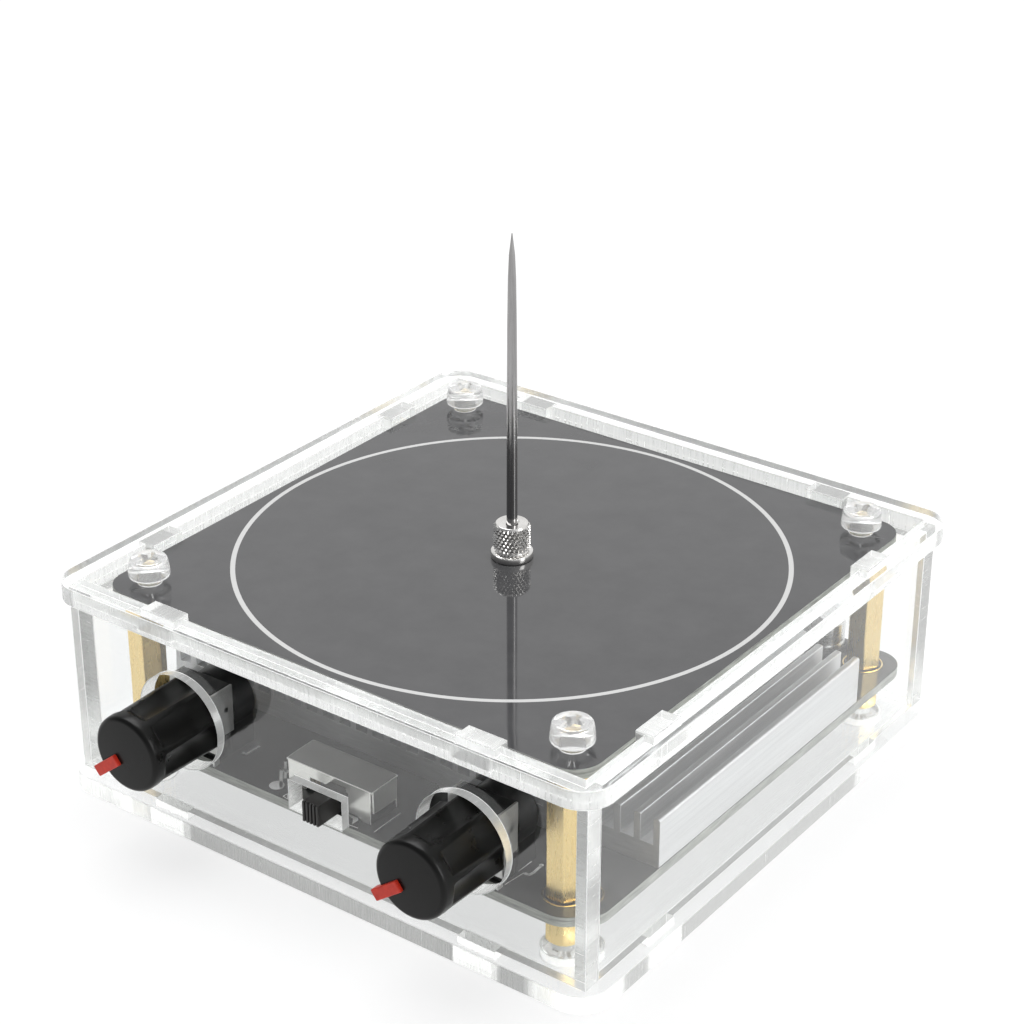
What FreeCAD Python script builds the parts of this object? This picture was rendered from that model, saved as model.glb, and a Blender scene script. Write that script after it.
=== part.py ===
import FreeCAD, Part
import math
import os
import re
import Sketcher

# Desktop resonant transformer: a clear acrylic box, 100 mm square, round a stack of two circuit boards.
# Origin: the centre of the base plate's underside. +X is right, -Y is the side with the knobs, +Z is up.

doc = FreeCAD.newDocument("resonant_transformer")
sheet = doc.addObject("Spreadsheet::Sheet", "Sizes")

# Driving dimensions in millimetres, counts as plain numbers and angles in degrees.
SIZES = [
    ("plate_side", 100.0, "side of the square base plate and top frame"),
    ("plate_corner", 5.0, "corner radius of both plates"),
    ("sheet_thickness", 3.0, "thickness of the acrylic sheet"),
    ("wall_height", 30.2, "height of a wall without its tabs"),
    ("wall_setback", 2.2, "from the plate's edge to the wall's outer face"),
    ("wall_end_clearance", 0.1, "gap at each end of the two walls that stand between the others"),
    ("tab_margin", 18.6, "from the end of a wide wall to the middle of a tab"),
    ("tab_width", 6.5, "width of a tab"),
    ("slot_clearance", 0.1, "gap all round a tab in its slot"),
    ("frame_bearing", 1.35, "how far the top frame reaches over the walls"),
    ("board_clearance", 0.3, "gap between a board's edge and the wall"),
    ("board_thickness", 1.6, "thickness of both circuit boards"),
    ("board_corner", 4.5, "corner radius of both circuit boards"),
    ("fastener_inset", 5.3, "from the board's edge to the middle of a standoff"),
    ("standoff_flats", 5.0, "width across the flats of the brass standoffs"),
    ("short_standoff_length", 5.65, "length of the short standoffs"),
    ("thread_bore", 3.0, "bore of the standoffs and the thumb nut"),
    ("thread_clearance", 0.05, "gap between a screw's thread and its bore"),
    ("screw_hole", 3.3, "holes in the boards for the screws"),
    ("thread_depth", 8.0, "depth of the thread in each end of a tall standoff"),
    ("screw_head", 6.4, "diameter of the clear screws' heads"),
    ("screw_head_height", 3.0, "height of the heads"),
    ("screw_head_rounding", 0.5, "rounding of the heads' outer edge"),
    ("screw_collar", 3.9, "diameter of the collar under the head"),
    ("screw_collar_height", 1.15, "height of the collar"),
    ("top_screw_reach", 7.0, "thread of the top screws below the collar"),
    ("foot_screw_reach", 11.25, "thread of the foot screws beyond the collar"),
    ("foot_lift", 0.2, "from the table up to the heads of the foot screws"),
    ("foot_hole", 6.8, "holes in the base plate for the heads of the foot screws"),
    ("recess_length", 3.2, "length of the cross recess"),
    ("recess_width", 0.9, "width of the cross recess"),
    ("recess_depth", 1.6, "depth of the cross recess"),
    ("pad_thickness", 0.1, "thickness of the plated rings on the driver board"),
    ("pad_ring", 6.5, "outer diameter of the plated rings"),
    ("pad_clearance", 0.1, "gap between a plated ring and the piece that stands in it"),
    ("copper_thickness", 0.2, "thickness of the printed coils"),
    ("primary_margin", 0.55, "from the board's edge to the primary's outer turn"),
    ("primary_turns", 3.0, "turns of the primary"),
    ("primary_pitch", 1.9, "pitch of the primary"),
    ("primary_track", 1.3, "track width of the primary"),
    ("secondary_inner", 6.0, "radius where the secondary starts"),
    ("coil_gap", 2.4, "room left between the two coils"),
    ("secondary_pitch", 1.2, "pitch of the secondary"),
    ("secondary_track", 0.7, "track width of the secondary"),
    ("nut_flange", 6.6, "diameter of the thumb nut's flange"),
    ("nut_flange_height", 1.3, "height of the flange"),
    ("nut_diameter", 5.8, "diameter of the nut's grip"),
    ("nut_height", 5.9, "height of the whole nut"),
    ("nut_chamfer", 0.4, "chamfer at the top of the nut"),
    ("needle_diameter", 1.7, "diameter of the needle at its foot"),
    ("needle_length", 47.0, "length of the needle above the nut"),
    ("needle_tip", 0.16, "diameter at the point"),
    ("needle_grip", 2.4, "length of the needle inside the nut"),
    ("stud_head", 5.5, "diameter of the stud's head"),
    ("stud_head_height", 1.8, "height of the stud's head"),
    ("stud_reach", 3.2, "length of the stud inside the nut"),
    ("sink_margin", 16.55, "from the board's front or rear edge to the heat sink"),
    ("sink_base", 3.6, "thickness of the heat sink's base"),
    ("sink_height", 8.05, "height of the heat sink"),
    ("fin_count", 28.0, "number of fins"),
    ("fin_thickness", 1.1, "thickness of a fin"),
    ("transistor_length", 6.6, "length of a power transistor"),
    ("transistor_width", 6.1, "width of a power transistor"),
    ("transistor_height", 2.3, "height of a power transistor"),
    ("transistor_margin", 26.5, "from the board's side edge to the middle of a transistor"),
    ("transistor_clearance", 0.4, "gap round a transistor in its pocket"),
    ("thermal_pad", 0.3, "thickness of the pad between transistor and sink"),
    ("sink_screw_margin_x", 8.5, "from the board's side edge to a screw of the sink"),
    ("sink_screw_margin_y", 7.95, "from the sink's front or rear edge to a screw"),
    ("sink_screw_head", 4.6, "diameter of the sink's screw heads"),
    ("sink_screw_head_height", 1.3, "height of the sink's screw heads"),
    ("sink_screw_thread", 2.5, "thread of the sink's screws"),
    ("sink_screw_reach", 4.4, "length of the sink's screws above the head"),
    ("control_spacing", 12.7, "from a standoff's axis to the axis of a control"),
    ("axis_height", 7.1, "height of a control's axis above the board"),
    ("control_width", 9.8, "width of a control's metal cover"),
    ("control_top", 5.1, "height of the control above its axis"),
    ("control_inset", 0.3, "from the board's edge back to the cover's face"),
    ("cover_sheet", 0.4, "sheet thickness of the cover"),
    ("cover_depth", 4.7, "depth of the cover"),
    ("cover_drop", 2.8, "how far the cover's cheeks reach below the axis"),
    ("cover_lift", 1.0, "gap between the board and the cover's face"),
    ("cover_foot_width", 1.2, "width of the cover's two feet"),
    ("control_rear_depth", 4.8, "depth of the round part behind the cover"),
    ("shaft_diameter", 6.0, "diameter of a control's shaft"),
    ("shaft_clearance", 0.08, "gap round the shaft"),
    ("shaft_tail", 2.6, "length of the shaft inside the control"),
    ("shaft_end_gap", 0.3, "gap between the shaft's end and the bottom of its bore"),
    ("knob_gap", 1.0, "gap between the cover and the knob"),
    ("knob_length", 13.9, "length of a knob"),
    ("knob_rear", 13.0, "diameter of a knob at its rear"),
    ("knob_front", 12.2, "diameter of a knob at its front"),
    ("knob_rounding", 0.8, "rounding of a knob's front edge"),
    ("knob_end", 2.4, "thickness of the knob's end in front of the shaft"),
    ("flute_count", 8.0, "number of grip flutes"),
    ("flute_depth", 0.6, "depth of a flute"),
    ("flute_radius", 4.6, "radius of a flute"),
    ("flute_start", 2.0, "from the knob's face to where the flutes start"),
    ("pointer_width", 1.8, "width of the red pointer"),
    ("pointer_inner", 1.9, "radius where the pointer starts"),
    ("pointer_outer", 7.4, "radius where the pointer ends"),
    ("pointer_proud", 0.6, "how far the pointer stands out of the face"),
    ("pointer_depth", 0.9, "how deep the pointer sits in the face"),
    ("notch_margin", 0.5, "the notch is longer than the pointer by this at its inner end"),
    ("left_angle", 231.0, "left pointer, clockwise from the top"),
    ("right_angle", 233.0, "right pointer, clockwise from the top"),
    ("knob_hole", 15.6, "holes in the front wall for the knobs"),
    ("switch_offset", -0.8, "middle of the slide switch"),
    ("switch_length", 16.2, "length of the switch can"),
    ("switch_depth", 6.1, "depth of the switch can"),
    ("switch_height", 5.6, "height of the switch can"),
    ("switch_inset", 2.3, "from the board's edge back to the can"),
    ("can_sheet", 0.3, "sheet thickness of the can"),
    ("can_slot_width", 7.2, "width of the opening in the can's front"),
    ("can_slot_height", 4.3, "height of the opening in the can's front"),
    ("switch_base_height", 0.7, "thickness of the switch's insulating base"),
    ("slider_width", 3.0, "width of the slider's finger piece"),
    ("slider_height", 3.5, "height of the slider's finger piece"),
    ("slider_reach", 7.8, "how far the finger piece stands out of the can"),
    ("slider_travel", 3.5, "travel of the slider"),
    ("slider_gap", 0.2, "gap round the slider's carriage"),
    ("carriage_length", 7.6, "length of the slider's carriage"),
    ("switch_window_width", 10.0, "width of the wall's window for the slider"),
    ("switch_window_height", 5.0, "height of the wall's window for the slider"),
    ("inlet_spacing", 14.2, "from a standoff's axis to the middle of the power inlet"),
    ("inlet_width", 9.0, "width of the power inlet"),
    ("inlet_height", 11.0, "height of the power inlet"),
    ("inlet_depth", 14.0, "depth of the power inlet"),
    ("inlet_axis_height", 6.5, "height of the inlet's bore above the board"),
    ("inlet_bore", 6.2, "bore of the inlet"),
    ("inlet_bore_depth", 9.5, "depth of the inlet's bore"),
    ("inlet_pin", 2.0, "diameter of the inlet's centre pin"),
    ("inlet_pin_recess", 1.0, "how far the centre pin ends behind the inlet's face"),
    ("inlet_hole", 11.0, "hole in the rear wall for the power plug"),
    ("socket_gap", 0.2, "gap between the sockets and the rear wall"),
    ("audio_width", 6.2, "width of the audio socket"),
    ("audio_height", 5.0, "height of the audio socket"),
    ("audio_depth", 12.0, "depth of the audio socket"),
    ("audio_nose", 5.0, "diameter of the audio socket's nose"),
    ("audio_nose_length", 2.6, "length of the nose"),
    ("audio_bore", 3.6, "bore of the audio socket"),
    ("audio_end", 1.0, "thickness of the audio socket's closed end"),
    ("audio_hole", 7.0, "hole in the rear wall for the audio plug"),
    ("capacitor_margin", 7.2, "from a standoff's axis to the middle of the outer capacitor"),
    ("capacitor_spacing", 8.2, "from one capacitor to the next"),
    ("capacitor_inset", 5.0, "from the board's rear edge to the capacitors' middle"),
    ("capacitor_diameter", 6.3, "diameter of a capacitor"),
    ("capacitor_height", 5.8, "height of a capacitor with its foot"),
    ("capacitor_foot", 1.4, "height of a capacitor's square foot"),
    ("module_spacing", 13.4, "from the inner capacitor to the middle of the wireless audio module"),
    ("module_width", 13.0, "width of the module's board"),
    ("module_depth", 13.0, "depth of the module's board"),
    ("module_board", 0.8, "thickness of the module's board"),
    ("module_shield_share", 0.68, "share of the module that its shield covers"),
    ("module_shield_height", 1.5, "height of the shield"),
    ("module_inset", 1.2, "from the board's rear edge to the module"),
    ("chip_length", 5.0, "length of a driver chip"),
    ("chip_width", 4.0, "width of a driver chip"),
    ("chip_height", 1.5, "height of a driver chip"),
    ("chip_margin", 9.3, "from the board's side edge to the middle of a driver chip"),
    ("chip_inset", 12.0, "from the board's rear edge to the chips' middle"),
    ("pin_diameter", 0.9, "diameter of the soldered pins"),
    ("pin_hole", 1.1, "holes in the board for the pins"),
    ("pin_tail", 1.0, "how far the pins stand out below the board"),
    ("pin_pitch", 2.5, "pitch of the pins"),
    ("overrun", 1.0, "how far a cut runs past the face it opens"),
]
for row, (name, number, note) in enumerate(SIZES, start=1):
    sheet.set("A%d" % row, name)
    sheet.set("B%d" % row, str(number))
    sheet.setAlias("B%d" % row, name)
    sheet.set("C%d" % row, note)
doc.recompute()

# Heights and places that several pieces share, as formulas of the sheet.
BOARD_HALF = "(plate_side / 2 - wall_setback - sheet_thickness - board_clearance)"
WALL_OUTER = "(plate_side / 2 - wall_setback)"
WALL_INNER = "(plate_side / 2 - wall_setback - sheet_thickness)"
WALL_MIDDLE = "(plate_side / 2 - wall_setback - sheet_thickness / 2)"
CEILING = "(sheet_thickness + wall_height)"
BOARD_UNDER = "(foot_lift + screw_head_height + screw_collar_height + short_standoff_length)"
DECK = "(" + BOARD_UNDER + " + board_thickness)"
FASTENER = "(" + BOARD_HALF + " - fastener_inset)"
COIL_TOP = "(" + CEILING + " + board_thickness)"
AXIS = "(" + DECK + " + axis_height)"
COVER_FACE = "(" + BOARD_HALF + " - control_inset)"
BODY_REAR = "(" + COVER_FACE + " - cover_depth)"
KNOB_REAR = "(" + COVER_FACE + " + knob_gap)"
CAN_FACE = "(" + BOARD_HALF + " - switch_inset)"
SLIDER_MIDDLE = "(" + DECK + " + switch_height / 2 + slider_gap / 2)"
THREAD = "(thread_bore - 2 * thread_clearance)"
THREAD_RADIUS = "(thread_bore / 2 - thread_clearance)"
TAB = "(" + WALL_OUTER + " - tab_margin)"
CONTROL = "(" + FASTENER + " - control_spacing)"
SINK_HALF = "(" + BOARD_HALF + " - sink_margin)"
INLET = "(-" + FASTENER + " + inlet_spacing)"
CAPACITOR = "(" + FASTENER + " - capacitor_margin)"
MODULE = "(" + CAPACITOR + " - capacitor_spacing - module_spacing)"
AUDIO = "((" + INLET + " + inlet_width / 2 + " + MODULE + " - module_width / 2) / 2)"
PRIMARY_INNER = "(" + BOARD_HALF + " - primary_margin - primary_turns * primary_pitch - primary_track / 2)"

# An edge counts as found if it lies this near to where it is looked for, in millimetres or radians.
NEAR = 0.001

ALIASES = {name for name, number, note in SIZES}


def formula(text):
    """Turn a formula of plain size names into one that reads the sheet."""
    def full_name(hit):
        """Put the sheet's name before a size name and leave any other word."""
        word = hit.group(0)
        return "Sizes." + word if word in ALIASES else word

    return re.sub(r"[a-z_]+", full_name, text)


def length(text):
    """Work out a formula of size names as a number."""
    return float(sheet.evalExpression(formula(text)))


def bind(thing, **formulas):
    """Bind properties of an object to formulas of the sheet; x, y and z place it."""
    for key, text in formulas.items():
        path = {"x": "Placement.Base.x", "y": "Placement.Base.y", "z": "Placement.Base.z"}.get(key, key)
        thing.setExpression(path, formula(text))
    return thing


def origin_of(body, role):
    """Find one of a body's own origin planes or axes."""
    for item in body.Origin.OriginFeatures:
        if item.Role == role:
            return item


def new_body(name, x="0", y="0", z="0"):
    """Start a part-design body under a piece's name, placed by formulas."""
    body = doc.addObject("PartDesign::Body", name)
    body.Label = name
    return bind(body, x=x, y=y, z=z)


def sketch_on(body, name, role, x="0", y="0", lift="0"):
    """Lay a sketch on a plane of its body, with its own middle moved to x, y and lifted off the plane."""
    sketch = body.newObject("Sketcher::SketchObject", body.Name + "_" + name)
    sketch.AttachmentSupport = [(origin_of(body, role), "")]
    sketch.MapMode = "FlatFace"
    for axis, text in (("x", x), ("y", y), ("z", lift)):
        sketch.setExpression("AttachmentOffset.Base." + axis, formula(text))
    return sketch


def outline(sketch, points):
    """Close a polygon through points given as formulas, each bound to the sheet."""
    count = len(points)
    start = math.tau / count
    for index in range(count):
        ends = []
        for corner in (index, index + 1):
            ends.append(FreeCAD.Vector(math.cos(corner * start), math.sin(corner * start), 0))
        sketch.addGeometry(Part.LineSegment(ends[0], ends[1]), False)
    for index in range(count):
        sketch.addConstraint(Sketcher.Constraint("Coincident", index, 2, (index + 1) % count, 1))
    for index, place in enumerate(points):
        for kind, text in zip(("DistanceX", "DistanceY"), place):
            number = sketch.addConstraint(Sketcher.Constraint(kind, -1, 1, index, 1, float(index + 1)))
            sketch.setExpression("Constraints[%d]" % number, formula(text))
    return sketch


def rectangle(sketch, width, height):
    """Close a rectangle about the sketch's middle."""
    right = "(" + width + ") / 2"
    top = "(" + height + ") / 2"
    corners = [("-" + right, "-" + top), (right, "-" + top), (right, top), ("-" + right, top)]
    return outline(sketch, corners)


def circle(sketch, diameter):
    """Draw a circle about the sketch's middle."""
    sketch.addGeometry(Part.Circle(FreeCAD.Vector(0, 0, 0), FreeCAD.Vector(0, 0, 1), 1), False)
    sketch.addConstraint(Sketcher.Constraint("Coincident", 0, 3, -1, 1))
    number = sketch.addConstraint(Sketcher.Constraint("Diameter", 0, 1))
    sketch.setExpression("Constraints[%d]" % number, formula(diameter))
    return sketch


def feature(body, kind, sketch, name, depth, reverse=False):
    """Add a pad or pocket of a sketch to its body."""
    made = body.newObject("PartDesign::" + kind, body.Name + "_" + name)
    made.Profile = sketch
    made.Reversed = reverse
    made.setExpression("Length", formula(depth))
    sketch.Visibility = False
    return made


def around(body, name, originals, count, role="Z_Axis"):
    """Repeat features of a body evenly round one of its axes."""
    pattern = body.newObject("PartDesign::PolarPattern", body.Name + "_" + name)
    pattern.Originals = originals
    pattern.Axis = (origin_of(body, role), [""])
    pattern.Angle = 360
    pattern.setExpression("Occurrences", formula(count))
    body.Tip = pattern
    return pattern


def along(body, name, originals, role, count, reach):
    """Repeat features of a body in a row along one of its axes."""
    pattern = body.newObject("PartDesign::LinearPattern", body.Name + "_" + name)
    pattern.Originals = originals
    pattern.Direction = (origin_of(body, role), [""])
    pattern.setExpression("Length", formula(reach))
    pattern.setExpression("Occurrences", formula(count))
    body.Tip = pattern
    return pattern


def edges_where(made, test):
    """Name the edges of a feature whose two ends pass a test."""
    names = []
    for number, edge in enumerate(made.Shape.Edges, start=1):
        if test(edge):
            names.append("Edge%d" % number)
    return names


def upright(edge):
    """Tell whether an edge is straight and stands along Z."""
    if edge.Curve.TypeId != "Part::GeomLine":
        return False
    return edge.Curve.Direction.getAngle(FreeCAD.Vector(0, 0, 1)) % math.pi < NEAR


def round_edges(body, name, made, names, radius, kind="Fillet"):
    """Round or chamfer named edges of a body's last feature."""
    dressed = body.newObject("PartDesign::" + kind, body.Name + "_" + name)
    dressed.Base = (made, names)
    dressed.setExpression("Radius" if kind == "Fillet" else "Size", formula(radius))
    return dressed


def block(name, size, corner):
    """Make a box from its three sizes and its lowest corner."""
    made = doc.addObject("Part::Box", name)
    return bind(made, Length=size[0], Width=size[1], Height=size[2], x=corner[0], y=corner[1], z=corner[2])


def rod(name, diameter, height, place, toward="z"):
    """Make a cylinder that starts at a place and runs along +Z, or along -Y or +Y."""
    made = doc.addObject("Part::Cylinder", name)
    if toward == "-y":
        made.Placement.Rotation = FreeCAD.Rotation(FreeCAD.Vector(1, 0, 0), 90)
    if toward == "+y":
        made.Placement.Rotation = FreeCAD.Rotation(FreeCAD.Vector(1, 0, 0), -90)
    return bind(made, Radius="(" + diameter + ") / 2", Height=height, x=place[0], y=place[1], z=place[2])


def cut(name, base, *tools):
    """Take one or more shapes away from another."""
    for index, tool in enumerate(tools):
        made = doc.addObject("Part::Cut", name if index == len(tools) - 1 else "%s_step_%d" % (name, index))
        made.Base = base
        made.Tool = tool
        base = made
    base.Label = name
    return base


def fuse(name, *shapes):
    """Join shapes that touch into one solid."""
    made = doc.addObject("Part::MultiFuse", name)
    made.Shapes = list(shapes)
    made.Refine = True
    made.Label = name
    return made


def group(name, shapes):
    """Keep like pieces together under one name as separate solids."""
    made = doc.addObject("Part::Compound", name)
    made.Links = list(shapes)
    made.Label = name
    return made


pieces = []


# Base plate: laser-cut sheet with eight slots for the wall tabs and four holes for the foot screws.
def plate(name, height):
    """Cut a square plate with round corners and the slots for the wall tabs."""
    body = new_body(name, z=height)
    base = sketch_on(body, "outline", "XY_Plane")
    rectangle(base, "plate_side", "plate_side")
    slab = feature(body, "Pad", base, "slab", "sheet_thickness")
    doc.recompute()
    round_edges(body, "corners", slab, edges_where(slab, upright), "plate_corner")
    doc.recompute()
    slots = []
    for side, sign in (("right", ""), ("left", "-")):
        lay = sketch_on(body, "slot_" + side, "XY_Plane", x=sign + TAB, y="-" + WALL_MIDDLE)
        rectangle(lay, "tab_width + 2 * slot_clearance", "sheet_thickness + 2 * slot_clearance")
        slots.append(feature(body, "Pocket", lay, "slot_cut_" + side, "sheet_thickness + overrun", True))
    around(body, "slots", slots, "4")
    pieces.append(body)
    return body


floor_plate = plate("base_plate", "0")
lay = sketch_on(floor_plate, "foot_hole", "XY_Plane", x=FASTENER, y=FASTENER)
circle(lay, "foot_hole")
foot_hole = feature(floor_plate, "Pocket", lay, "foot_hole_cut", "sheet_thickness + overrun", True)
around(floor_plate, "foot_holes", [foot_hole], "4")

# Top frame: the same plate with a square window that the coil board shows through.
frame = plate("top_frame", CEILING)
opening = sketch_on(frame, "window", "XY_Plane")
rectangle(opening, "2 * (" + WALL_OUTER + " - frame_bearing)", "2 * (" + WALL_OUTER + " - frame_bearing)")
feature(frame, "Pocket", opening, "window_cut", "sheet_thickness + overrun", True)


# Walls: four upright sheets whose tabs stand through the slots of both plates.
def wall(name, width, turn):
    """Cut one wall as the front one and turn it to its side; its pads run inwards from the outer face."""
    body = new_body(name)
    body.Placement.Rotation = FreeCAD.Rotation(FreeCAD.Vector(0, 0, 1), turn)
    middle = CEILING + " - wall_height / 2"
    base = sketch_on(body, "outline", "XZ_Plane", y=middle, lift=WALL_OUTER)
    rectangle(base, width, "wall_height")
    feature(body, "Pad", base, "sheet", "sheet_thickness", True)
    for side, sign in (("right", ""), ("left", "-")):
        lay = sketch_on(body, "tab_" + side, "XZ_Plane", x=sign + TAB, y=middle, lift=WALL_OUTER)
        rectangle(lay, "tab_width", "wall_height + 2 * sheet_thickness")
        feature(body, "Pad", lay, "tab_pad_" + side, "sheet_thickness", True)
    pieces.append(body)
    return body


def wall_hole(body, name, diameter, x, z):
    """Bore a round hole through a wall."""
    lay = sketch_on(body, name, "XZ_Plane", x=x, y=z, lift=WALL_OUTER)
    circle(lay, diameter)
    feature(body, "Pocket", lay, name + "_cut", "sheet_thickness + overrun")


WIDE = "2 * " + WALL_OUTER
NARROW = "2 * (" + WALL_INNER + " - wall_end_clearance)"
front = wall("front_panel", WIDE, 0)
wall_hole(front, "left_hole", "knob_hole", "-" + CONTROL, AXIS)
wall_hole(front, "right_hole", "knob_hole", CONTROL, AXIS)
slot = sketch_on(front, "switch_window", "XZ_Plane", y=SLIDER_MIDDLE, lift=WALL_OUTER)
rectangle(slot, "switch_window_width", "switch_window_height")
feature(front, "Pocket", slot, "switch_window_cut", "sheet_thickness + overrun")
rear = wall("rear_panel", WIDE, 180)
wall_hole(rear, "power_hole", "inlet_hole", "-" + INLET, DECK + " + inlet_axis_height")
wall_hole(rear, "audio_hole", "audio_hole", "-" + AUDIO, DECK + " + audio_height / 2")
wall("left_panel", NARROW, -90)
wall("right_panel", NARROW, 90)


# Circuit boards: glass-fibre laminate with a screw hole near each corner.
def board(name, height):
    """Cut a square circuit board with round corners and its four screw holes."""
    body = new_body(name, z=height)
    base = sketch_on(body, "outline", "XY_Plane")
    rectangle(base, "2 * " + BOARD_HALF, "2 * " + BOARD_HALF)
    slab = feature(body, "Pad", base, "slab", "board_thickness")
    doc.recompute()
    round_edges(body, "corners", slab, edges_where(slab, upright), "board_corner")
    lay = sketch_on(body, "screw_hole", "XY_Plane", x=FASTENER, y=FASTENER)
    circle(lay, "screw_hole")
    hole = feature(body, "Pocket", lay, "screw_hole_cut", "board_thickness + overrun", True)
    around(body, "screw_holes", [hole], "4")
    pieces.append(body)
    return body


coil_board = board("coil_board", CEILING)
lay = sketch_on(coil_board, "stud_hole", "XY_Plane")
circle(lay, "screw_hole")
feature(coil_board, "Pocket", lay, "stud_hole_cut", "board_thickness + overrun", True)
driver_board = board("driver_board", BOARD_UNDER)


def pin_holes(name, count, pitch, x, y, diameter="pin_hole"):
    """Drill a row of holes in the driver board, the first one at x, y."""
    lay = sketch_on(driver_board, name, "XY_Plane", x=x, y=y)
    circle(lay, diameter)
    hole = feature(driver_board, "Pocket", lay, name + "_cut", "board_thickness + overrun", True)
    if count > 1:
        along(driver_board, name + "_row", [hole], "X_Axis", str(count), "%d * %s" % (count - 1, pitch))


def pin_row(name, count, pitch, x, y):
    """Stand a row of soldered pins in the driver board and drill their holes."""
    pin_holes(name + "_holes", count, pitch, x, y)
    pins = []
    for index in range(count):
        place = ("%s + %d * %s" % (x, index, pitch), y, BOARD_UNDER + " - pin_tail")
        pins.append(rod("%s_%d" % (name, index), "pin_diameter", "board_thickness + pin_tail", place))
    pieces.append(group(name, pins))


# Standoffs: hexagonal brass pillars, threaded in both ends, that carry the two boards.
def standoffs(name, low, tall, bores):
    """Stand four hexagonal pillars at the corners, each with its threaded bores."""
    body = new_body(name, z=low)
    hexagon = sketch_on(body, "hexagon", "XY_Plane", x=FASTENER, y=FASTENER)
    flat = "standoff_flats / 2"
    point = "standoff_flats / 2 / cos(30)"
    half = point + " / 2"
    corners = [(point, "0"), (half, flat), ("-" + half, flat)]
    corners += [("-" + point, "0"), ("-" + half, "-" + flat), (half, "-" + flat)]
    outline(hexagon, corners)
    pillar = feature(body, "Pad", hexagon, "pillar", tall)
    cuts = []
    for index, (start, depth) in enumerate(bores):
        lay = sketch_on(body, "bore_%d" % index, "XY_Plane", x=FASTENER, y=FASTENER, lift=start)
        circle(lay, "thread_bore")
        cuts.append(feature(body, "Pocket", lay, "bore_cut_%d" % index, depth, True))
    around(body, "corners", [pillar] + cuts, "4")
    pieces.append(body)


TALL = "(" + CEILING + " - " + DECK + ")"
standoffs("tall_standoffs", DECK, TALL, [("-overrun", "thread_depth + overrun"),
                                         (TALL + " - thread_depth", "thread_depth + overrun")])
standoffs("short_standoffs", BOARD_UNDER + " - short_standoff_length", "short_standoff_length",
          [("-overrun", "short_standoff_length + 2 * overrun")])


# Screws: clear moulded screws with a cross recess, four through the top board and four under the lower one.
def clear_screws(name, height, turn, reach):
    """Set four clear screws at the corners, heads up or heads down, from the head's seat outwards."""
    body = new_body(name, z=height)
    body.Placement.Rotation = FreeCAD.Rotation(FreeCAD.Vector(1, 0, 0), turn)
    lay = sketch_on(body, "collar", "XY_Plane", x=FASTENER, y=FASTENER)
    circle(lay, "screw_collar")
    collar = feature(body, "Pad", lay, "collar_pad", "screw_collar_height")
    lay = sketch_on(body, "head", "XY_Plane", x=FASTENER, y=FASTENER, lift="screw_collar_height")
    circle(lay, "screw_head")
    head = feature(body, "Pad", lay, "head_pad", "screw_head_height")
    lay = sketch_on(body, "shank", "XY_Plane", x=FASTENER, y=FASTENER, lift="-" + reach)
    circle(lay, THREAD)
    shank = feature(body, "Pad", lay, "shank_pad", reach)
    cuts = []
    arms = (("recess_length", "recess_width"), ("recess_width", "recess_length"))
    for index, (width, depth) in enumerate(arms):
        lay = sketch_on(body, "recess_%d" % index, "XY_Plane", x=FASTENER, y=FASTENER,
                        lift="screw_collar_height + screw_head_height - recess_depth")
        rectangle(lay, width, depth)
        cuts.append(feature(body, "Pocket", lay, "recess_cut_%d" % index, "recess_depth + overrun", True))
    around(body, "corners", [collar, head, shank] + cuts, "4")
    doc.recompute()
    top = length("screw_collar_height + screw_head_height")
    radius = length("screw_head / 2")

    def rim(edge):
        """Tell whether an edge is the round outer rim of a head."""
        if edge.Curve.TypeId != "Part::GeomCircle":
            return False
        return abs(edge.Curve.Radius - radius) < NEAR and abs(edge.BoundBox.ZMin - top) < NEAR

    round_edges(body, "rims", body.Tip, edges_where(body.Tip, rim), "screw_head_rounding")
    pieces.append(body)


clear_screws("top_screws", COIL_TOP, 0, "top_screw_reach")
clear_screws("foot_screws", BOARD_UNDER + " - short_standoff_length", 180, "foot_screw_reach")


# Plated rings: the bare gold-plated copper round each standoff on the driver board's top face.
rings = new_body("driver_board_pads", z=DECK)
lay = sketch_on(rings, "ring", "XY_Plane", x=FASTENER, y=FASTENER)
circle(lay, "pad_ring")
ring = feature(rings, "Pad", lay, "ring_pad", "pad_thickness")
lay = sketch_on(rings, "eye", "XY_Plane", x=FASTENER, y=FASTENER)
circle(lay, "standoff_flats / cos(30) + 2 * pad_clearance")
eye = feature(rings, "Pocket", lay, "eye_cut", "pad_thickness + overrun", True)
around(rings, "corners", [ring, eye], "4")
pieces.append(rings)


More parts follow.
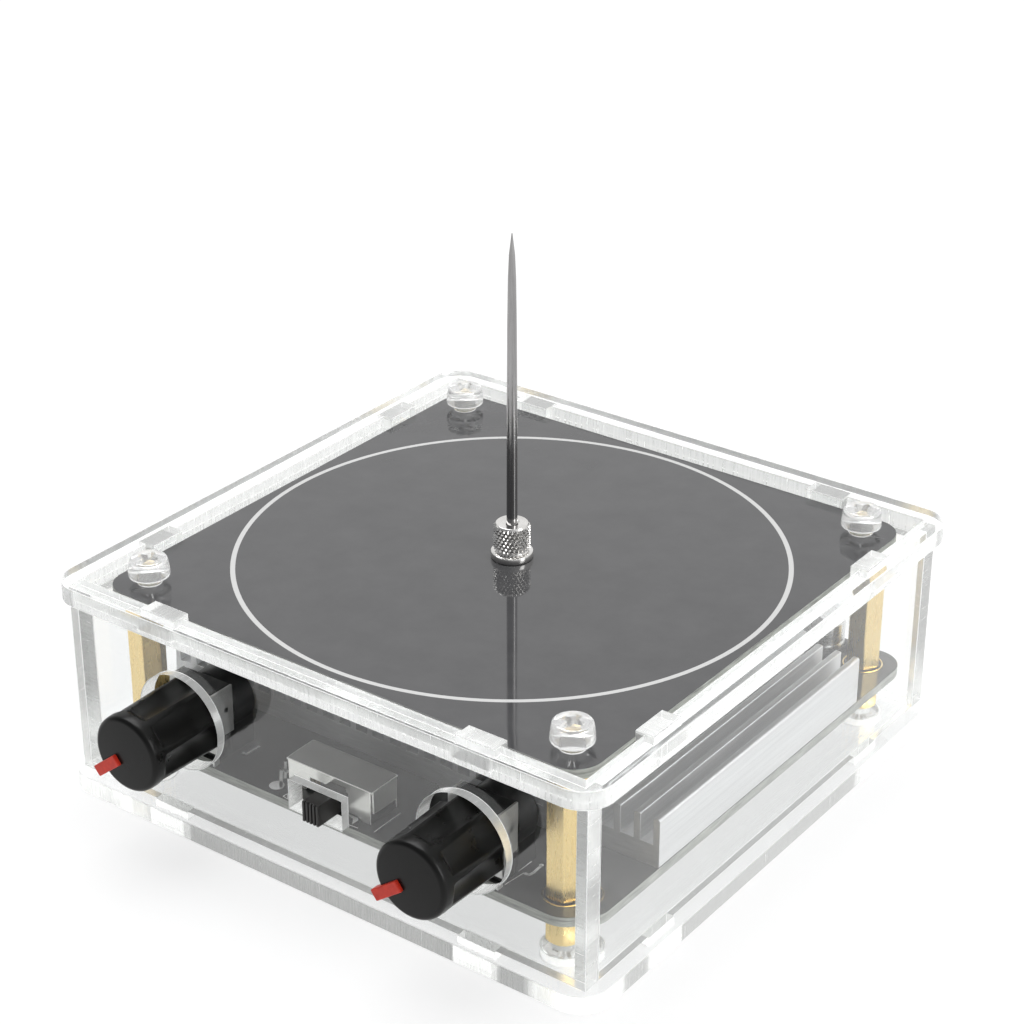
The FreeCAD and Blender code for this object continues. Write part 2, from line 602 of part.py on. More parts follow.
# Printed coils: flat copper spirals under the coil board, the primary outside and the secondary inside.
def spiral(name, inner, turns, pitch, track, tail):
    """Draw a flat spiral of half-circle tracks whose two edges stay parallel, and give it its thickness."""
    step = pitch / 2
    rims = {1: [], -1: []}
    for half_turn in range(int(round(2 * turns))):
        centre = step if half_turn % 2 else 0
        upper = 1 if half_turn % 2 == 0 else -1
        for side, arcs in rims.items():
            radius = inner + half_turn * step + side * track / 2
            start = FreeCAD.Vector(centre + upper * radius, 0, 0)
            crown = FreeCAD.Vector(centre, upper * radius, 0)
            end = FreeCAD.Vector(centre - upper * radius, 0, 0)
            arcs.append(Part.Arc(start, crown, end).toShape())
    outer = rims[1]
    inside = rims[-1]
    edges = outer + [Part.makeLine(outer[-1].Vertexes[-1].Point, inside[-1].Vertexes[-1].Point)]
    edges += inside[::-1]
    first_outer = outer[0].Vertexes[0].Point
    first_inner = inside[0].Vertexes[0].Point
    if tail:
        drop = FreeCAD.Vector(0, -track, 0)
        foot = FreeCAD.Vector(tail, -track, 0)
        head = FreeCAD.Vector(tail, 0, 0)
        edges += [Part.makeLine(first_inner, head), Part.makeLine(head, foot)]
        edges += [Part.makeLine(foot, first_outer + drop), Part.makeLine(first_outer + drop, first_outer)]
    else:
        edges.append(Part.makeLine(first_inner, first_outer))
    gaps = [rims[1][arc].distToShape(rims[-1][arc + 2])[0] for arc in range(len(rims[1]) - 2)]
    print("%s: least gap between turns %.2f" % (name, min(gaps)))
    face = Part.Face(Part.Wire(Part.__sortEdges__(edges)))
    made = doc.addObject("Part::Feature", name)
    made.Shape = face.extrude(FreeCAD.Vector(0, 0, -length("copper_thickness")))
    made.Label = name
    bind(made, z=CEILING)
    pieces.append(made)


spiral("primary_winding", length(PRIMARY_INNER), length("primary_turns"), length("primary_pitch"),
       length("primary_track"), 0)
room_for_turns = "(" + PRIMARY_INNER + " - coil_gap - secondary_inner) / secondary_pitch"
secondary_turns = math.floor(length(room_for_turns))
spiral("secondary_winding", length("secondary_inner"), secondary_turns, length("secondary_pitch"),
       length("secondary_track"), length("stud_head / 2"))


# Discharge terminal: a stud through the coil board, a knurled thumb nut on it and the needle in the nut.
def turned(name, height, points):
    """Turn a piece about Z from its half outline."""
    body = new_body(name, z=height)
    lay = sketch_on(body, "profile", "XZ_Plane")
    outline(lay, points)
    made = body.newObject("PartDesign::Revolution", name + "_turned")
    made.Profile = lay
    made.ReferenceAxis = (origin_of(body, "Z_Axis"), [""])
    made.Angle = 360
    lay.Visibility = False
    pieces.append(body)
    return body


turned("terminal_stud", CEILING + " - stud_head_height", [
    ("0", "0"),
    ("stud_head / 2", "0"),
    ("stud_head / 2", "stud_head_height"),
    (THREAD_RADIUS, "stud_head_height"),
    (THREAD_RADIUS, "stud_head_height + board_thickness + stud_reach"),
    ("0", "stud_head_height + board_thickness + stud_reach")])
turned("knurled_nut", COIL_TOP, [
    ("thread_bore / 2", "0"),
    ("nut_flange / 2", "0"),
    ("nut_flange / 2", "nut_flange_height"),
    ("nut_diameter / 2", "nut_flange_height"),
    ("nut_diameter / 2", "nut_height - nut_chamfer"),
    ("nut_diameter / 2 - nut_chamfer", "nut_height"),
    ("needle_diameter / 2 + thread_clearance", "nut_height"),
    ("needle_diameter / 2 + thread_clearance", "nut_height - needle_grip"),
    ("thread_bore / 2", "nut_height - needle_grip")])

# The needle thins slowly and ends in a ground point: shares of its length with shares of its radius.
NEEDLE_SHARES = [("0.10", "0.99"), ("0.45", "0.94"), ("0.70", "0.86"), ("0.85", "0.74"), ("0.93", "0.55")]
needle_points = [("0", "-needle_grip"), ("needle_diameter / 2", "-needle_grip")]
for height_share, radius_share in NEEDLE_SHARES:
    needle_points.append(("needle_diameter / 2 * " + radius_share, "needle_length * " + height_share))
needle_points += [("needle_tip / 2", "needle_length"), ("0", "needle_length")]
turned("discharge_needle", COIL_TOP + " + nut_height", needle_points)

# Heat sink: an extruded aluminium block as wide as the board, with its fins running from front to back.
sink = new_body("heat_sink", z=DECK)
lay = sketch_on(sink, "outline", "XY_Plane")
rectangle(lay, "2 * " + BOARD_HALF, "2 * " + SINK_HALF)
feature(sink, "Pad", lay, "block", "sink_height")
FIN_PITCH = "((2 * " + BOARD_HALF + " - fin_thickness) / (fin_count - 1))"
FIRST_CHANNEL = "-" + BOARD_HALF + " + fin_thickness / 2 + " + FIN_PITCH + " / 2"
lay = sketch_on(sink, "channel", "XY_Plane", x=FIRST_CHANNEL, lift="sink_base")
rectangle(lay, FIN_PITCH + " - fin_thickness", "2 * (" + SINK_HALF + " + overrun)")
channel = feature(sink, "Pocket", lay, "channel_cut", "sink_height - sink_base + overrun", True)
along(sink, "channels", [channel], "X_Axis", "fin_count - 1", "(fin_count - 2) * " + FIN_PITCH)
TRANSISTOR = "(" + BOARD_HALF + " - transistor_margin)"
SCREW_X = "(" + BOARD_HALF + " - sink_screw_margin_x)"
SCREW_Y = "(" + SINK_HALF + " - sink_screw_margin_y)"
for side, sign in (("right", ""), ("left", "-")):
    lay = sketch_on(sink, "pocket_" + side, "XY_Plane", x=sign + TRANSISTOR, lift="-overrun")
    rectangle(lay, "transistor_length + 2 * transistor_clearance",
              "transistor_width + 2 * transistor_clearance")
    feature(sink, "Pocket", lay, "pocket_cut_" + side, "transistor_height + thermal_pad + overrun", True)
for side_x, sign_x in (("right", ""), ("left", "-")):
    for side_y, sign_y in (("rear", ""), ("front", "-")):
        lay = sketch_on(sink, "screw_%s_%s" % (side_x, side_y), "XY_Plane", x=sign_x + SCREW_X,
                        y=sign_y + SCREW_Y, lift="-overrun")
        circle(lay, "sink_screw_thread + 2 * thread_clearance")
        feature(sink, "Pocket", lay, "screw_cut_%s_%s" % (side_x, side_y),
                "sink_screw_reach - board_thickness + thread_clearance + overrun", True)
pieces.append(sink)

# Screws of the heat sink: pushed up through the driver board, their heads under it.
screws = []
for side_x, sign_x in (("right", ""), ("left", "-")):
    for side_y, sign_y in (("rear", ""), ("front", "-")):
        x = sign_x + SCREW_X
        y = sign_y + SCREW_Y
        name = "sink_screw_%s_%s" % (side_x, side_y)
        head = rod(name + "_head", "sink_screw_head", "sink_screw_head_height",
                   (x, y, BOARD_UNDER + " - sink_screw_head_height"))
        shank = rod(name + "_shank", "sink_screw_thread", "sink_screw_reach", (x, y, BOARD_UNDER))
        screws.append(fuse(name, head, shank))
        pin_holes(name + "_hole", 1, "pin_pitch", x, y, "sink_screw_thread + 4 * thread_clearance")
pieces.append(group("heat_sink_screws", screws))

# Power transistors: two flat packages on the board, each under a soft pad in a pocket of the sink.
packages = []
cushions = []
for side, sign in (("right", ""), ("left", "-")):
    low = (sign + TRANSISTOR + " - transistor_length / 2", "-transistor_width / 2", DECK)
    size = ("transistor_length", "transistor_width", "transistor_height")
    packages.append(block("transistor_" + side, size, low))
    high = (low[0], low[1], DECK + " + transistor_height")
    size = ("transistor_length", "transistor_width", "thermal_pad")
    cushions.append(block("cushion_" + side, size, high))
pieces.append(group("power_transistors", packages))
pieces.append(group("thermal_pads", cushions))


# Controls: two rotary potentiometers, each with a metal cover, a black body, a shaft, a knob and a pointer.
def control(side, centre, angle):
    """Build one control about its axis, which runs along Y."""
    name = side + "_control"
    half = "control_width / 2"
    face = block(name + "_face", ("control_width", "cover_sheet", "axis_height + control_top - cover_lift"),
                 (centre + " - " + half, "-" + COVER_FACE, DECK + " + cover_lift"))
    parts = [face]
    sides = (("left", centre + " - " + half), ("right", centre + " + " + half + " - cover_sheet"))
    cheek = ("cover_sheet", "cover_depth", "cover_drop + control_top")
    foot = ("cover_sheet", "cover_foot_width", "axis_height")
    for part_name, x in sides:
        lowest = (x, "-" + COVER_FACE, AXIS + " - cover_drop")
        parts.append(block(name + "_cheek_" + part_name, cheek, lowest))
        parts.append(block(name + "_foot_" + part_name, foot, (x, "-" + COVER_FACE, DECK)))
    shell = fuse(name + "_shell", *parts)
    bore = rod(name + "_shell_bore", "shaft_diameter + 2 * shaft_clearance", "cover_sheet + 2 * overrun",
               (centre, "-" + COVER_FACE + " + cover_sheet + overrun", AXIS), "-y")
    pieces.append(cut(name + "_cover", shell, bore))

    inner = "(control_width - 2 * cover_sheet)"
    core = block(name + "_core", (inner, "cover_depth - cover_sheet", "axis_height + control_top"),
                 (centre + " - " + inner + " / 2", "-" + COVER_FACE + " + cover_sheet", DECK))
    drum = rod(name + "_drum", "2 * control_top", "control_rear_depth",
               (centre, "-" + BODY_REAR, AXIS), "+y")
    stand = block(name + "_stand", (inner, "control_rear_depth", "axis_height"),
                  (centre + " - " + inner + " / 2", "-" + BODY_REAR, DECK))
    solid = fuse(name + "_solid", core, drum, stand)
    deep = "shaft_tail + shaft_end_gap"
    socket = rod(name + "_socket", "shaft_diameter + 2 * shaft_clearance", deep + " + overrun",
                 (centre, "-" + COVER_FACE + " + cover_sheet + " + deep, AXIS), "-y")
    pieces.append(cut(name + "_body", solid, socket))

    tail = "(" + COVER_FACE + " - cover_sheet - shaft_tail)"
    shaft = rod(side + "_shaft", "shaft_diameter", KNOB_REAR + " + knob_length - knob_end - " + tail,
                (centre, "-" + tail, AXIS), "-y")
    shaft.Label = side + "_shaft"
    pieces.append(shaft)

    knob = new_body(side + "_knob", x=centre, y="-" + KNOB_REAR, z=AXIS)
    lay = sketch_on(knob, "profile", "XY_Plane")
    outline(lay, [("shaft_diameter / 2", "0"), ("knob_rear / 2", "0"), ("knob_front / 2", "-knob_length"),
                  ("0", "-knob_length"), ("0", "knob_end - knob_length"),
                  ("shaft_diameter / 2", "knob_end - knob_length")])
    made = knob.newObject("PartDesign::Revolution", side + "_knob_turned")
    made.Profile = lay
    made.ReferenceAxis = (origin_of(knob, "Y_Axis"), [""])
    made.Angle = 360
    lay.Visibility = False
    doc.recompute()

    def front_rim(edge):
        """Tell whether an edge is the rim of the knob's front face."""
        if edge.Curve.TypeId != "Part::GeomCircle":
            return False
        return abs(edge.BoundBox.YMax + length("knob_length")) < NEAR

    round_edges(knob, "rim", made, edges_where(made, front_rim), "knob_rounding")
    flute = knob.newObject("PartDesign::SubtractiveCylinder", side + "_knob_flute")
    flute.AttachmentSupport = [(origin_of(knob, "XZ_Plane"), "")]
    flute.MapMode = "FlatFace"
    flute.setExpression("Radius", formula("flute_radius"))
    flute.setExpression("Height", formula("knob_length - flute_start + overrun"))
    flute.setExpression("AttachmentOffset.Base.x", formula("knob_front / 2 - flute_depth + flute_radius"))
    flute.setExpression("AttachmentOffset.Base.z", formula("-overrun"))
    around(knob, "flutes", [flute], "flute_count", "Y_Axis")
    notch = sketch_on(knob, "notch", "XZ_Plane", y="(pointer_inner - notch_margin + pointer_outer) / 2",
                      lift="knob_length - pointer_depth")
    rectangle(notch, "pointer_width", "pointer_outer - pointer_inner + notch_margin")
    feature(knob, "Pocket", notch, "notch_cut", "pointer_depth + overrun", True)
    knob.Placement.Rotation = FreeCAD.Rotation(FreeCAD.Vector(0, 1, 0), angle)
    pieces.append(knob)

    pointer = new_body(side + "_pointer", x=centre, y="-" + KNOB_REAR, z=AXIS)
    lay = sketch_on(pointer, "bar", "XZ_Plane", y="(pointer_inner + pointer_outer) / 2",
                    lift="knob_length - pointer_depth")
    rectangle(lay, "pointer_width", "pointer_outer - pointer_inner")
    feature(pointer, "Pad", lay, "bar_pad", "pointer_depth + pointer_proud")
    pointer.Placement.Rotation = FreeCAD.Rotation(FreeCAD.Vector(0, 1, 0), angle)
    pieces.append(pointer)
    pin_row(name + "_pins", 3, "pin_pitch", centre + " - pin_pitch",
            "-" + COVER_FACE + " + cover_depth / 2")


control("left", "-" + CONTROL, length("left_angle"))
control("right", CONTROL, length("right_angle"))

# Mode switch: a folded metal can over an insulating base, with a slider whose finger piece comes out.
SWITCH_LEFT = "(switch_offset - switch_length / 2)"
can = block("switch_can_block", ("switch_length", "switch_depth", "switch_height"),
            (SWITCH_LEFT, "-" + CAN_FACE, DECK))
room = block("switch_can_room", ("switch_length - 2 * can_sheet", "switch_depth - 2 * can_sheet",
                                 "switch_height - can_sheet + overrun"),
             (SWITCH_LEFT + " + can_sheet", "-" + CAN_FACE + " + can_sheet", DECK + " - overrun"))
mouth = block("switch_can_mouth", ("can_slot_width", "can_sheet + 2 * overrun", "can_slot_height"),
              ("switch_offset - can_slot_width / 2", "-" + CAN_FACE + " - overrun",
               SLIDER_MIDDLE + " - can_slot_height / 2"))
pieces.append(cut("mode_switch_can", can, room, mouth))
base = block("mode_switch_base",
             ("switch_length - 2 * can_sheet", "switch_depth - 2 * can_sheet", "switch_base_height"),
             (SWITCH_LEFT + " + can_sheet", "-" + CAN_FACE + " + can_sheet", DECK))
base.Label = "mode_switch_base"
pieces.append(base)
SLIDER_X = "(switch_offset + slider_travel / 2)"
finger = block("slider_finger", ("slider_width", "slider_reach + switch_depth / 2", "slider_height"),
               (SLIDER_X + " - slider_width / 2", "-" + CAN_FACE + " - slider_reach",
                SLIDER_MIDDLE + " - slider_height / 2"))
carriage = block("slider_carriage",
                 ("carriage_length", "switch_depth - 2 * can_sheet - 2 * slider_gap",
                  "switch_height - can_sheet - switch_base_height - 2 * slider_gap"),
                 (SLIDER_X + " - carriage_length / 2", "-" + CAN_FACE + " + can_sheet + slider_gap",
                  DECK + " + switch_base_height + slider_gap"))
pieces.append(fuse("mode_switch_slider", finger, carriage))
pin_row("mode_switch_pins", 3, "pin_pitch", "switch_offset - pin_pitch",
        "-" + CAN_FACE + " + switch_depth / 2")

# Power inlet: a moulded barrel socket at the rear edge with a centre pin.
INLET_FACE = "(" + WALL_INNER + " - socket_gap)"
INLET_AXIS = "(" + DECK + " + inlet_axis_height)"
shell = block("inlet_block", ("inlet_width", "inlet_depth", "inlet_height"),
              (INLET + " - inlet_width / 2", INLET_FACE + " - inlet_depth", DECK))
bore = rod("inlet_bore_hole", "inlet_bore", "inlet_bore_depth + overrun",
           (INLET, INLET_FACE + " - inlet_bore_depth", INLET_AXIS), "+y")
pieces.append(cut("power_inlet_body", shell, bore))
pin = rod("power_inlet_pin", "inlet_pin", "inlet_bore_depth - inlet_pin_recess",
          (INLET, INLET_FACE + " - inlet_bore_depth", INLET_AXIS), "+y")
pin.Label = "power_inlet_pin"
pieces.append(pin)
pin_row("power_inlet_contacts", 3, "pin_pitch", INLET + " - pin_pitch", INLET_FACE + " - inlet_depth / 2")

# Audio socket: a small jack beside the inlet whose round nose reaches into the wall.
AUDIO_AXIS = "(" + DECK + " + audio_height / 2)"
shell = block("audio_block", ("audio_width", "audio_depth", "audio_height"),
              (AUDIO + " - audio_width / 2", INLET_FACE + " - audio_depth", DECK))
nose = rod("audio_nose_ring", "audio_nose", "audio_nose_length", (AUDIO, INLET_FACE, AUDIO_AXIS), "+y")
bore = rod("audio_bore_hole", "audio_bore", "audio_nose_length + audio_depth - audio_end + overrun",
           (AUDIO, INLET_FACE + " - audio_depth + audio_end", AUDIO_AXIS), "+y")
pieces.append(cut("audio_socket", fuse("audio_socket_solid", shell, nose), bore))
pin_row("audio_socket_pins", 3, "pin_pitch", AUDIO + " - pin_pitch", INLET_FACE + " - audio_depth / 2")

# Bulk capacitors: two small electrolytic cans on square feet behind the heat sink.
cans = []
for index in range(2):
    x = CAPACITOR + " - %d * capacitor_spacing" % index
    y = BOARD_HALF + " - capacitor_inset"
    foot = block("capacitor_foot_%d" % index,
                 ("capacitor_diameter", "capacitor_diameter", "capacitor_foot"),
                 (x + " - capacitor_diameter / 2", y + " - capacitor_diameter / 2", DECK))
    body = rod("capacitor_can_%d" % index, "capacitor_diameter", "capacitor_height", (x, y, DECK))
    cans.append(fuse("capacitor_%d" % index, foot, body))
pieces.append(group("bulk_capacitors", cans))

# Wireless audio module: a small board under a metal shield.
MODULE_LOW = (MODULE + " - module_width / 2", BOARD_HALF + " - module_inset - module_depth", DECK)
pieces.append(block("wireless_module_board", ("module_width", "module_depth", "module_board"), MODULE_LOW))
SHIELD_WIDTH = "module_width * module_shield_share"
SHIELD_DEPTH = "module_depth * module_shield_share"
pieces.append(block("wireless_module_shield", (SHIELD_WIDTH, SHIELD_DEPTH, "module_shield_height"),
                    (MODULE + " - " + SHIELD_WIDTH + " / 2", MODULE_LOW[1] + " + module_inset",
                     DECK + " + module_board")))

# Driver chips: two small packages that switch the power transistors.
chips = []
for side, sign in (("right", ""), ("left", "-")):
    x = sign + "(" + BOARD_HALF + " - chip_margin) - chip_length / 2"
    y = BOARD_HALF + " - chip_inset - chip_width / 2"
    chips.append(block("driver_chip_" + side, ("chip_length", "chip_width", "chip_height"), (x, y, DECK)))
pieces.append(group("driver_chips", chips))

doc.recompute()

# Every object has to be sound before anything is written.
for thing in doc.Objects:
    if "Invalid" in thing.State or "Error" in thing.State:
        raise RuntimeError("%s did not compute" % thing.Name)
for piece in pieces:
    if piece.Shape.isNull() or not piece.Shape.isValid():
        raise RuntimeError("%s has no sound shape" % piece.Label)

os.makedirs("parts", exist_ok=True)
for piece in pieces:
    piece.Shape.exportStep("parts/" + piece.Label + ".step")
    box = piece.Shape.BoundBox
    print("%-24s solids %d volume %9.2f x %.2f %.2f y %.2f %.2f z %.2f %.2f" % (
        piece.Label, len(piece.Shape.Solids), piece.Shape.Volume,
        box.XMin, box.XMax, box.YMin, box.YMax, box.ZMin, box.ZMax))
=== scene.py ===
import math

import bmesh
import bpy
from mathutils import Matrix, Vector


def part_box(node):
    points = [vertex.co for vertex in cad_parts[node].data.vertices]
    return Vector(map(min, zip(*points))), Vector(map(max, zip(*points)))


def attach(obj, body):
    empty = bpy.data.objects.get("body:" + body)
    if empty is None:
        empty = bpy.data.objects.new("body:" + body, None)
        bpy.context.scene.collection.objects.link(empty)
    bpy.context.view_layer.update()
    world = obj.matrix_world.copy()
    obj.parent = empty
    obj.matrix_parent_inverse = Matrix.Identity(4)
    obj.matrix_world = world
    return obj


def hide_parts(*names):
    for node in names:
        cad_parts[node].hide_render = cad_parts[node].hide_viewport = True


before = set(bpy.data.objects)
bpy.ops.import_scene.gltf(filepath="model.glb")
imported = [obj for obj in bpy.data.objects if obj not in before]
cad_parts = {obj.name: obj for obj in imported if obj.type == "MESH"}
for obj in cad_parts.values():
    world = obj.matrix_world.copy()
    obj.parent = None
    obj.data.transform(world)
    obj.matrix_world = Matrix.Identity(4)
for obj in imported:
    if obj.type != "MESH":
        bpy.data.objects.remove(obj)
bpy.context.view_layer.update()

# Camera: a long lens at the front right, a little above the object. It looks at the needle's foot, so the
# whole needle and the table in front of the box stay in view.
camera = bpy.data.objects.new("camera", bpy.data.cameras.new("camera"))
bpy.context.scene.collection.objects.link(camera)
camera.location = (0.2024, -0.2733, 0.2154)
camera.rotation_mode = "QUATERNION"
camera.rotation_quaternion = (Vector((0, 0, 0.04244)) - camera.location).to_track_quat("-Z", "Y")
camera.data.sensor_width = 36
camera.data.lens = 87.69
camera.data.clip_start = 0.01
bpy.context.scene.camera = camera
bpy.context.scene.view_settings.view_transform = "Standard"


# Studio: white all round for the camera and through clear sheets; polished pieces mirror a greyer side low
# down in front of the object, where no lamp or card stands.
def node(owner, kind, **settings):
    """Add a shader node; a setting named after an input gives that input its constant."""
    tree = owner.node_tree if hasattr(owner, "node_tree") else owner
    made = tree.nodes.new("ShaderNode" + kind)
    for key, value in settings.items():
        socket = key.replace("_", " ")
        if socket in made.inputs:
            made.inputs[socket].default_value = value
        else:
            setattr(made, key, value)
    return made


def wire(owner, start, end):
    """Join two sockets of a material, an effect group or the world."""
    (owner.node_tree if hasattr(owner, "node_tree") else owner).links.new(start, end)


def seen_directly(owner, *rays):
    """Tell by light path whether a ray is one of those named, as a value of 0 or 1."""
    path = node(owner, "LightPath")
    answer = path.outputs[rays[0]]
    for ray in rays[1:]:
        either = node(owner, "Math", operation="MAXIMUM")
        wire(owner, answer, either.inputs[0])
        wire(owner, path.outputs[ray], either.inputs[1])
        answer = either.outputs["Value"]
    return answer


studio = bpy.data.worlds.new("studio")
bpy.context.scene.world = studio
studio.use_nodes = True
studio.node_tree.nodes.clear()
direction = node(studio, "TexCoord")
turn = node(studio, "Mapping", Rotation=(math.radians(30), 0, math.radians(20)))
split = node(studio, "SeparateXYZ")
spread = node(studio, "MapRange", From_Min=-1)
shade = node(studio, "ValToRGB")
dark, bright = shade.color_ramp.elements
dark.position, dark.color = 0.10, (0.30, 0.305, 0.315, 1)
bright.position, bright.color = 0.55, (1, 1, 1, 1)
choice = node(studio, "Mix", data_type="RGBA", B=(1, 1, 1, 1))
sky = node(studio, "Background")
out = node(studio, "OutputWorld")
wire(studio, direction.outputs["Generated"], turn.inputs["Vector"])
wire(studio, turn.outputs["Vector"], split.inputs["Vector"])
wire(studio, split.outputs["Y"], spread.inputs["Value"])
wire(studio, spread.outputs["Result"], shade.inputs["Fac"])
wire(studio, seen_directly(studio, "Is Camera Ray", "Is Transmission Ray"), choice.inputs["Factor"])
wire(studio, shade.outputs["Color"], choice.inputs["A"])
wire(studio, choice.outputs["Result"], sky.inputs["Color"])
wire(studio, sky.outputs["Background"], out.inputs["Surface"])


# Lamps: one large soft box overhead at the back left and a smaller one at the right. Both are broad, so the
# brass and the sheets' edges catch soft highlights and the shadows stay faint.
def lamp(name, place, width, height, power):
    """Hang a rectangular lamp and point it at the driver board."""
    made = bpy.data.objects.new(name, bpy.data.lights.new(name, "AREA"))
    made.data.shape = "RECTANGLE"
    made.data.size = width
    made.data.size_y = height
    made.data.energy = power
    made.location = place
    made.rotation_mode = "QUATERNION"
    made.rotation_quaternion = (Vector((0, 0, 0.02)) - Vector(place)).to_track_quat("-Z", "Y")
    bpy.context.scene.collection.objects.link(made)


lamp("overhead_lamp", (-0.25, 0.1, 0.75), 0.6, 0.6, 5.0)
lamp("right_lamp", (0.75, 0.05, 0.35), 0.3, 0.5, 2.6)


# Table: plain white, fading into the backdrop. It shows its own white to the camera, to mirrors and through
# clear sheets, and still takes the object's soft shadow.
def material(name, colour, roughness, metallic=0.0, **more):
    """Make a material with a Principled shader and its constants."""
    made = bpy.data.materials.new(name)
    made.use_nodes = True
    shader = made.node_tree.nodes["Principled BSDF"]
    shader.inputs["Base Color"].default_value = (*colour, 1)
    shader.inputs["Roughness"].default_value = roughness
    shader.inputs["Metallic"].default_value = metallic
    for key, value in more.items():
        shader.inputs[key.replace("_", " ")].default_value = value
    return made


def blend_in(owner, share, other):
    """Show another shader in a material by a share from 0 to 1."""
    nodes = owner.node_tree.nodes
    mix = node(owner, "MixShader")
    wire(owner, share, mix.inputs["Fac"])
    wire(owner, nodes["Principled BSDF"].outputs["BSDF"], mix.inputs[1])
    wire(owner, other.outputs[0], mix.inputs[2])
    wire(owner, mix.outputs["Shader"], nodes["Material Output"].inputs["Surface"])


def portion(owner, value, share):
    """Take a fixed share of a value."""
    made = node(owner, "Math", operation="MULTIPLY")
    made.inputs[1].default_value = share
    wire(owner, value, made.inputs[0])
    return made.outputs["Value"]


table_mesh = bpy.data.meshes.new("table")
table_bm = bmesh.new()
bmesh.ops.create_grid(table_bm, x_segments=1, y_segments=1, size=3,
                      matrix=Matrix.Translation((0, 0, -0.00005)))
table_bm.to_mesh(table_mesh)
table_bm.free()
table = bpy.data.objects.new("table", table_mesh)
bpy.context.scene.collection.objects.link(table)
white_table = material("white_table", (0.9, 0.9, 0.9), 0.9, Specular_IOR_Level=0.0)
plain_view = seen_directly(white_table, "Is Camera Ray", "Is Transmission Ray", "Is Glossy Ray")
plain_white = node(white_table, "Emission", Color=(1, 1, 1, 1))
blend_in(white_table, portion(white_table, plain_view, 0.72), plain_white)
table.data.materials.append(white_table)


# Clear acrylic plates: a base and a frame, laser-cut from 3 mm sheet. Their faces are polished, their cut
# edges keep the laser's fine streaks, and eight slots or notches in each take the tabs of the walls.
def effect(name, inputs, outputs):
    """Start an effect group with its sockets; each input is a name with its default value."""
    made = bpy.data.node_groups.new(name, "ShaderNodeTree")
    for socket, value in inputs.items():
        kind = "NodeSocketColor" if isinstance(value, tuple) else "NodeSocketFloat"
        made.interface.new_socket(name=socket, in_out="INPUT", socket_type=kind).default_value = value
    for socket, kind in outputs.items():
        made.interface.new_socket(name=socket, in_out="OUTPUT", socket_type="NodeSocket" + kind)
    return made, made.nodes.new("NodeGroupInput"), made.nodes.new("NodeGroupOutput")


def vary(owner, pattern, given, result):
    """Let a pattern carry an effect's colour and gloss from their first value to their second."""
    tone = node(owner, "MapRange", From_Min=0.3, From_Max=0.7)
    wire(owner, pattern, tone.inputs["Value"])
    for kind, ends, output in (("RGBA", "Colour", "Colour"), ("FLOAT", "Gloss", "Roughness")):
        mix = node(owner, "Mix", data_type=kind)
        wire(owner, tone.outputs["Result"], mix.inputs["Factor"])
        for end in "AB":
            wire(owner, given.outputs[ends + " " + end], mix.inputs[end])
        wire(owner, mix.outputs["Result"], result.inputs[output])


def emboss(owner, pattern, height, result):
    """Raise an effect's surface by a pattern."""
    relief = node(owner, "Bump", Strength=1)
    wire(owner, height, relief.inputs["Distance"])
    wire(owner, pattern, relief.inputs["Height"])
    wire(owner, relief.outputs["Normal"], result.inputs["Normal"])


def apply(owner, group, targets=("Base Color", "Roughness", "Normal"), **settings):
    """Put an effect in a material and join its outputs to the shader's inputs."""
    made = node(owner, "Group", node_tree=group)
    for key, value in settings.items():
        made.inputs[key.replace("_", " ")].default_value = value
    for target in targets:
        output = "Colour" if target == "Base Color" else target
        wire(owner, made.outputs[output], owner.node_tree.nodes["Principled BSDF"].inputs[target])
    return made


lines, given, result = effect(
    "fine_lines",
    {"Across X": 1.0, "Across Y": 1.0, "Across Z": 1.0, "Colour A": (1, 1, 1, 1), "Colour B": (1, 1, 1, 1),
     "Gloss A": 0.25, "Gloss B": 0.4, "Height": 0.000005},
    {"Colour": "Color", "Roughness": "Float", "Normal": "Vector"},
)
spot = node(lines, "TexCoord")
stretch = node(lines, "CombineXYZ")
for axis in "XYZ":
    wire(lines, given.outputs["Across " + axis], stretch.inputs[axis])
stretched = node(lines, "VectorMath", operation="MULTIPLY")
wire(lines, spot.outputs["Object"], stretched.inputs[0])
wire(lines, stretch.outputs["Vector"], stretched.inputs[1])
streaks = node(lines, "TexNoise", Scale=1000, Detail=4, Roughness=0.65)
wire(lines, stretched.outputs["Vector"], streaks.inputs["Vector"])
vary(lines, streaks.outputs["Fac"], given, result)
emboss(lines, streaks.outputs["Fac"], given.outputs["Height"], result)


def lined(name, colour, gloss, metallic, across, tones, glosses, height):
    """Make a material with fine lines: how closely they lie along X, Y and Z, two tones and two glosses."""
    made = material(name, colour, gloss, metallic)
    apply(made, lines, Across_X=across[0], Across_Y=across[1], Across_Z=across[2], Colour_A=(*tones[0], 1),
          Colour_B=(*tones[1], 1), Gloss_A=glosses[0], Gloss_B=glosses[1], Height=height)
    return made


def let_light_through(owner):
    """Let most of the lamps' light pass straight through a clear material."""
    share = portion(owner, seen_directly(owner, "Is Shadow Ray"), 0.9)
    blend_in(owner, share, node(owner, "BsdfTransparent"))


def cut_acrylic(name, x, y, z, painted_glow):
    """Make the finish of a laser-cut edge with a painted glow, an emission of the given strength; its
    streaks are long where the sheet's thickness runs."""
    made = material(name, (0.95, 0.955, 0.95), 0.1, IOR=1.49, Transmission_Weight=0.72,
                    Emission_Strength=painted_glow, Emission_Color=(0.99, 1.0, 0.98, 1))
    apply(made, lines, Across_X=x, Across_Y=y, Across_Z=z, Colour_A=(0.78, 0.79, 0.78, 1),
          Colour_B=(0.99, 0.995, 0.99, 1), Gloss_A=0.02, Gloss_B=0.30, Height=0.00005)
    let_light_through(made)
    return made


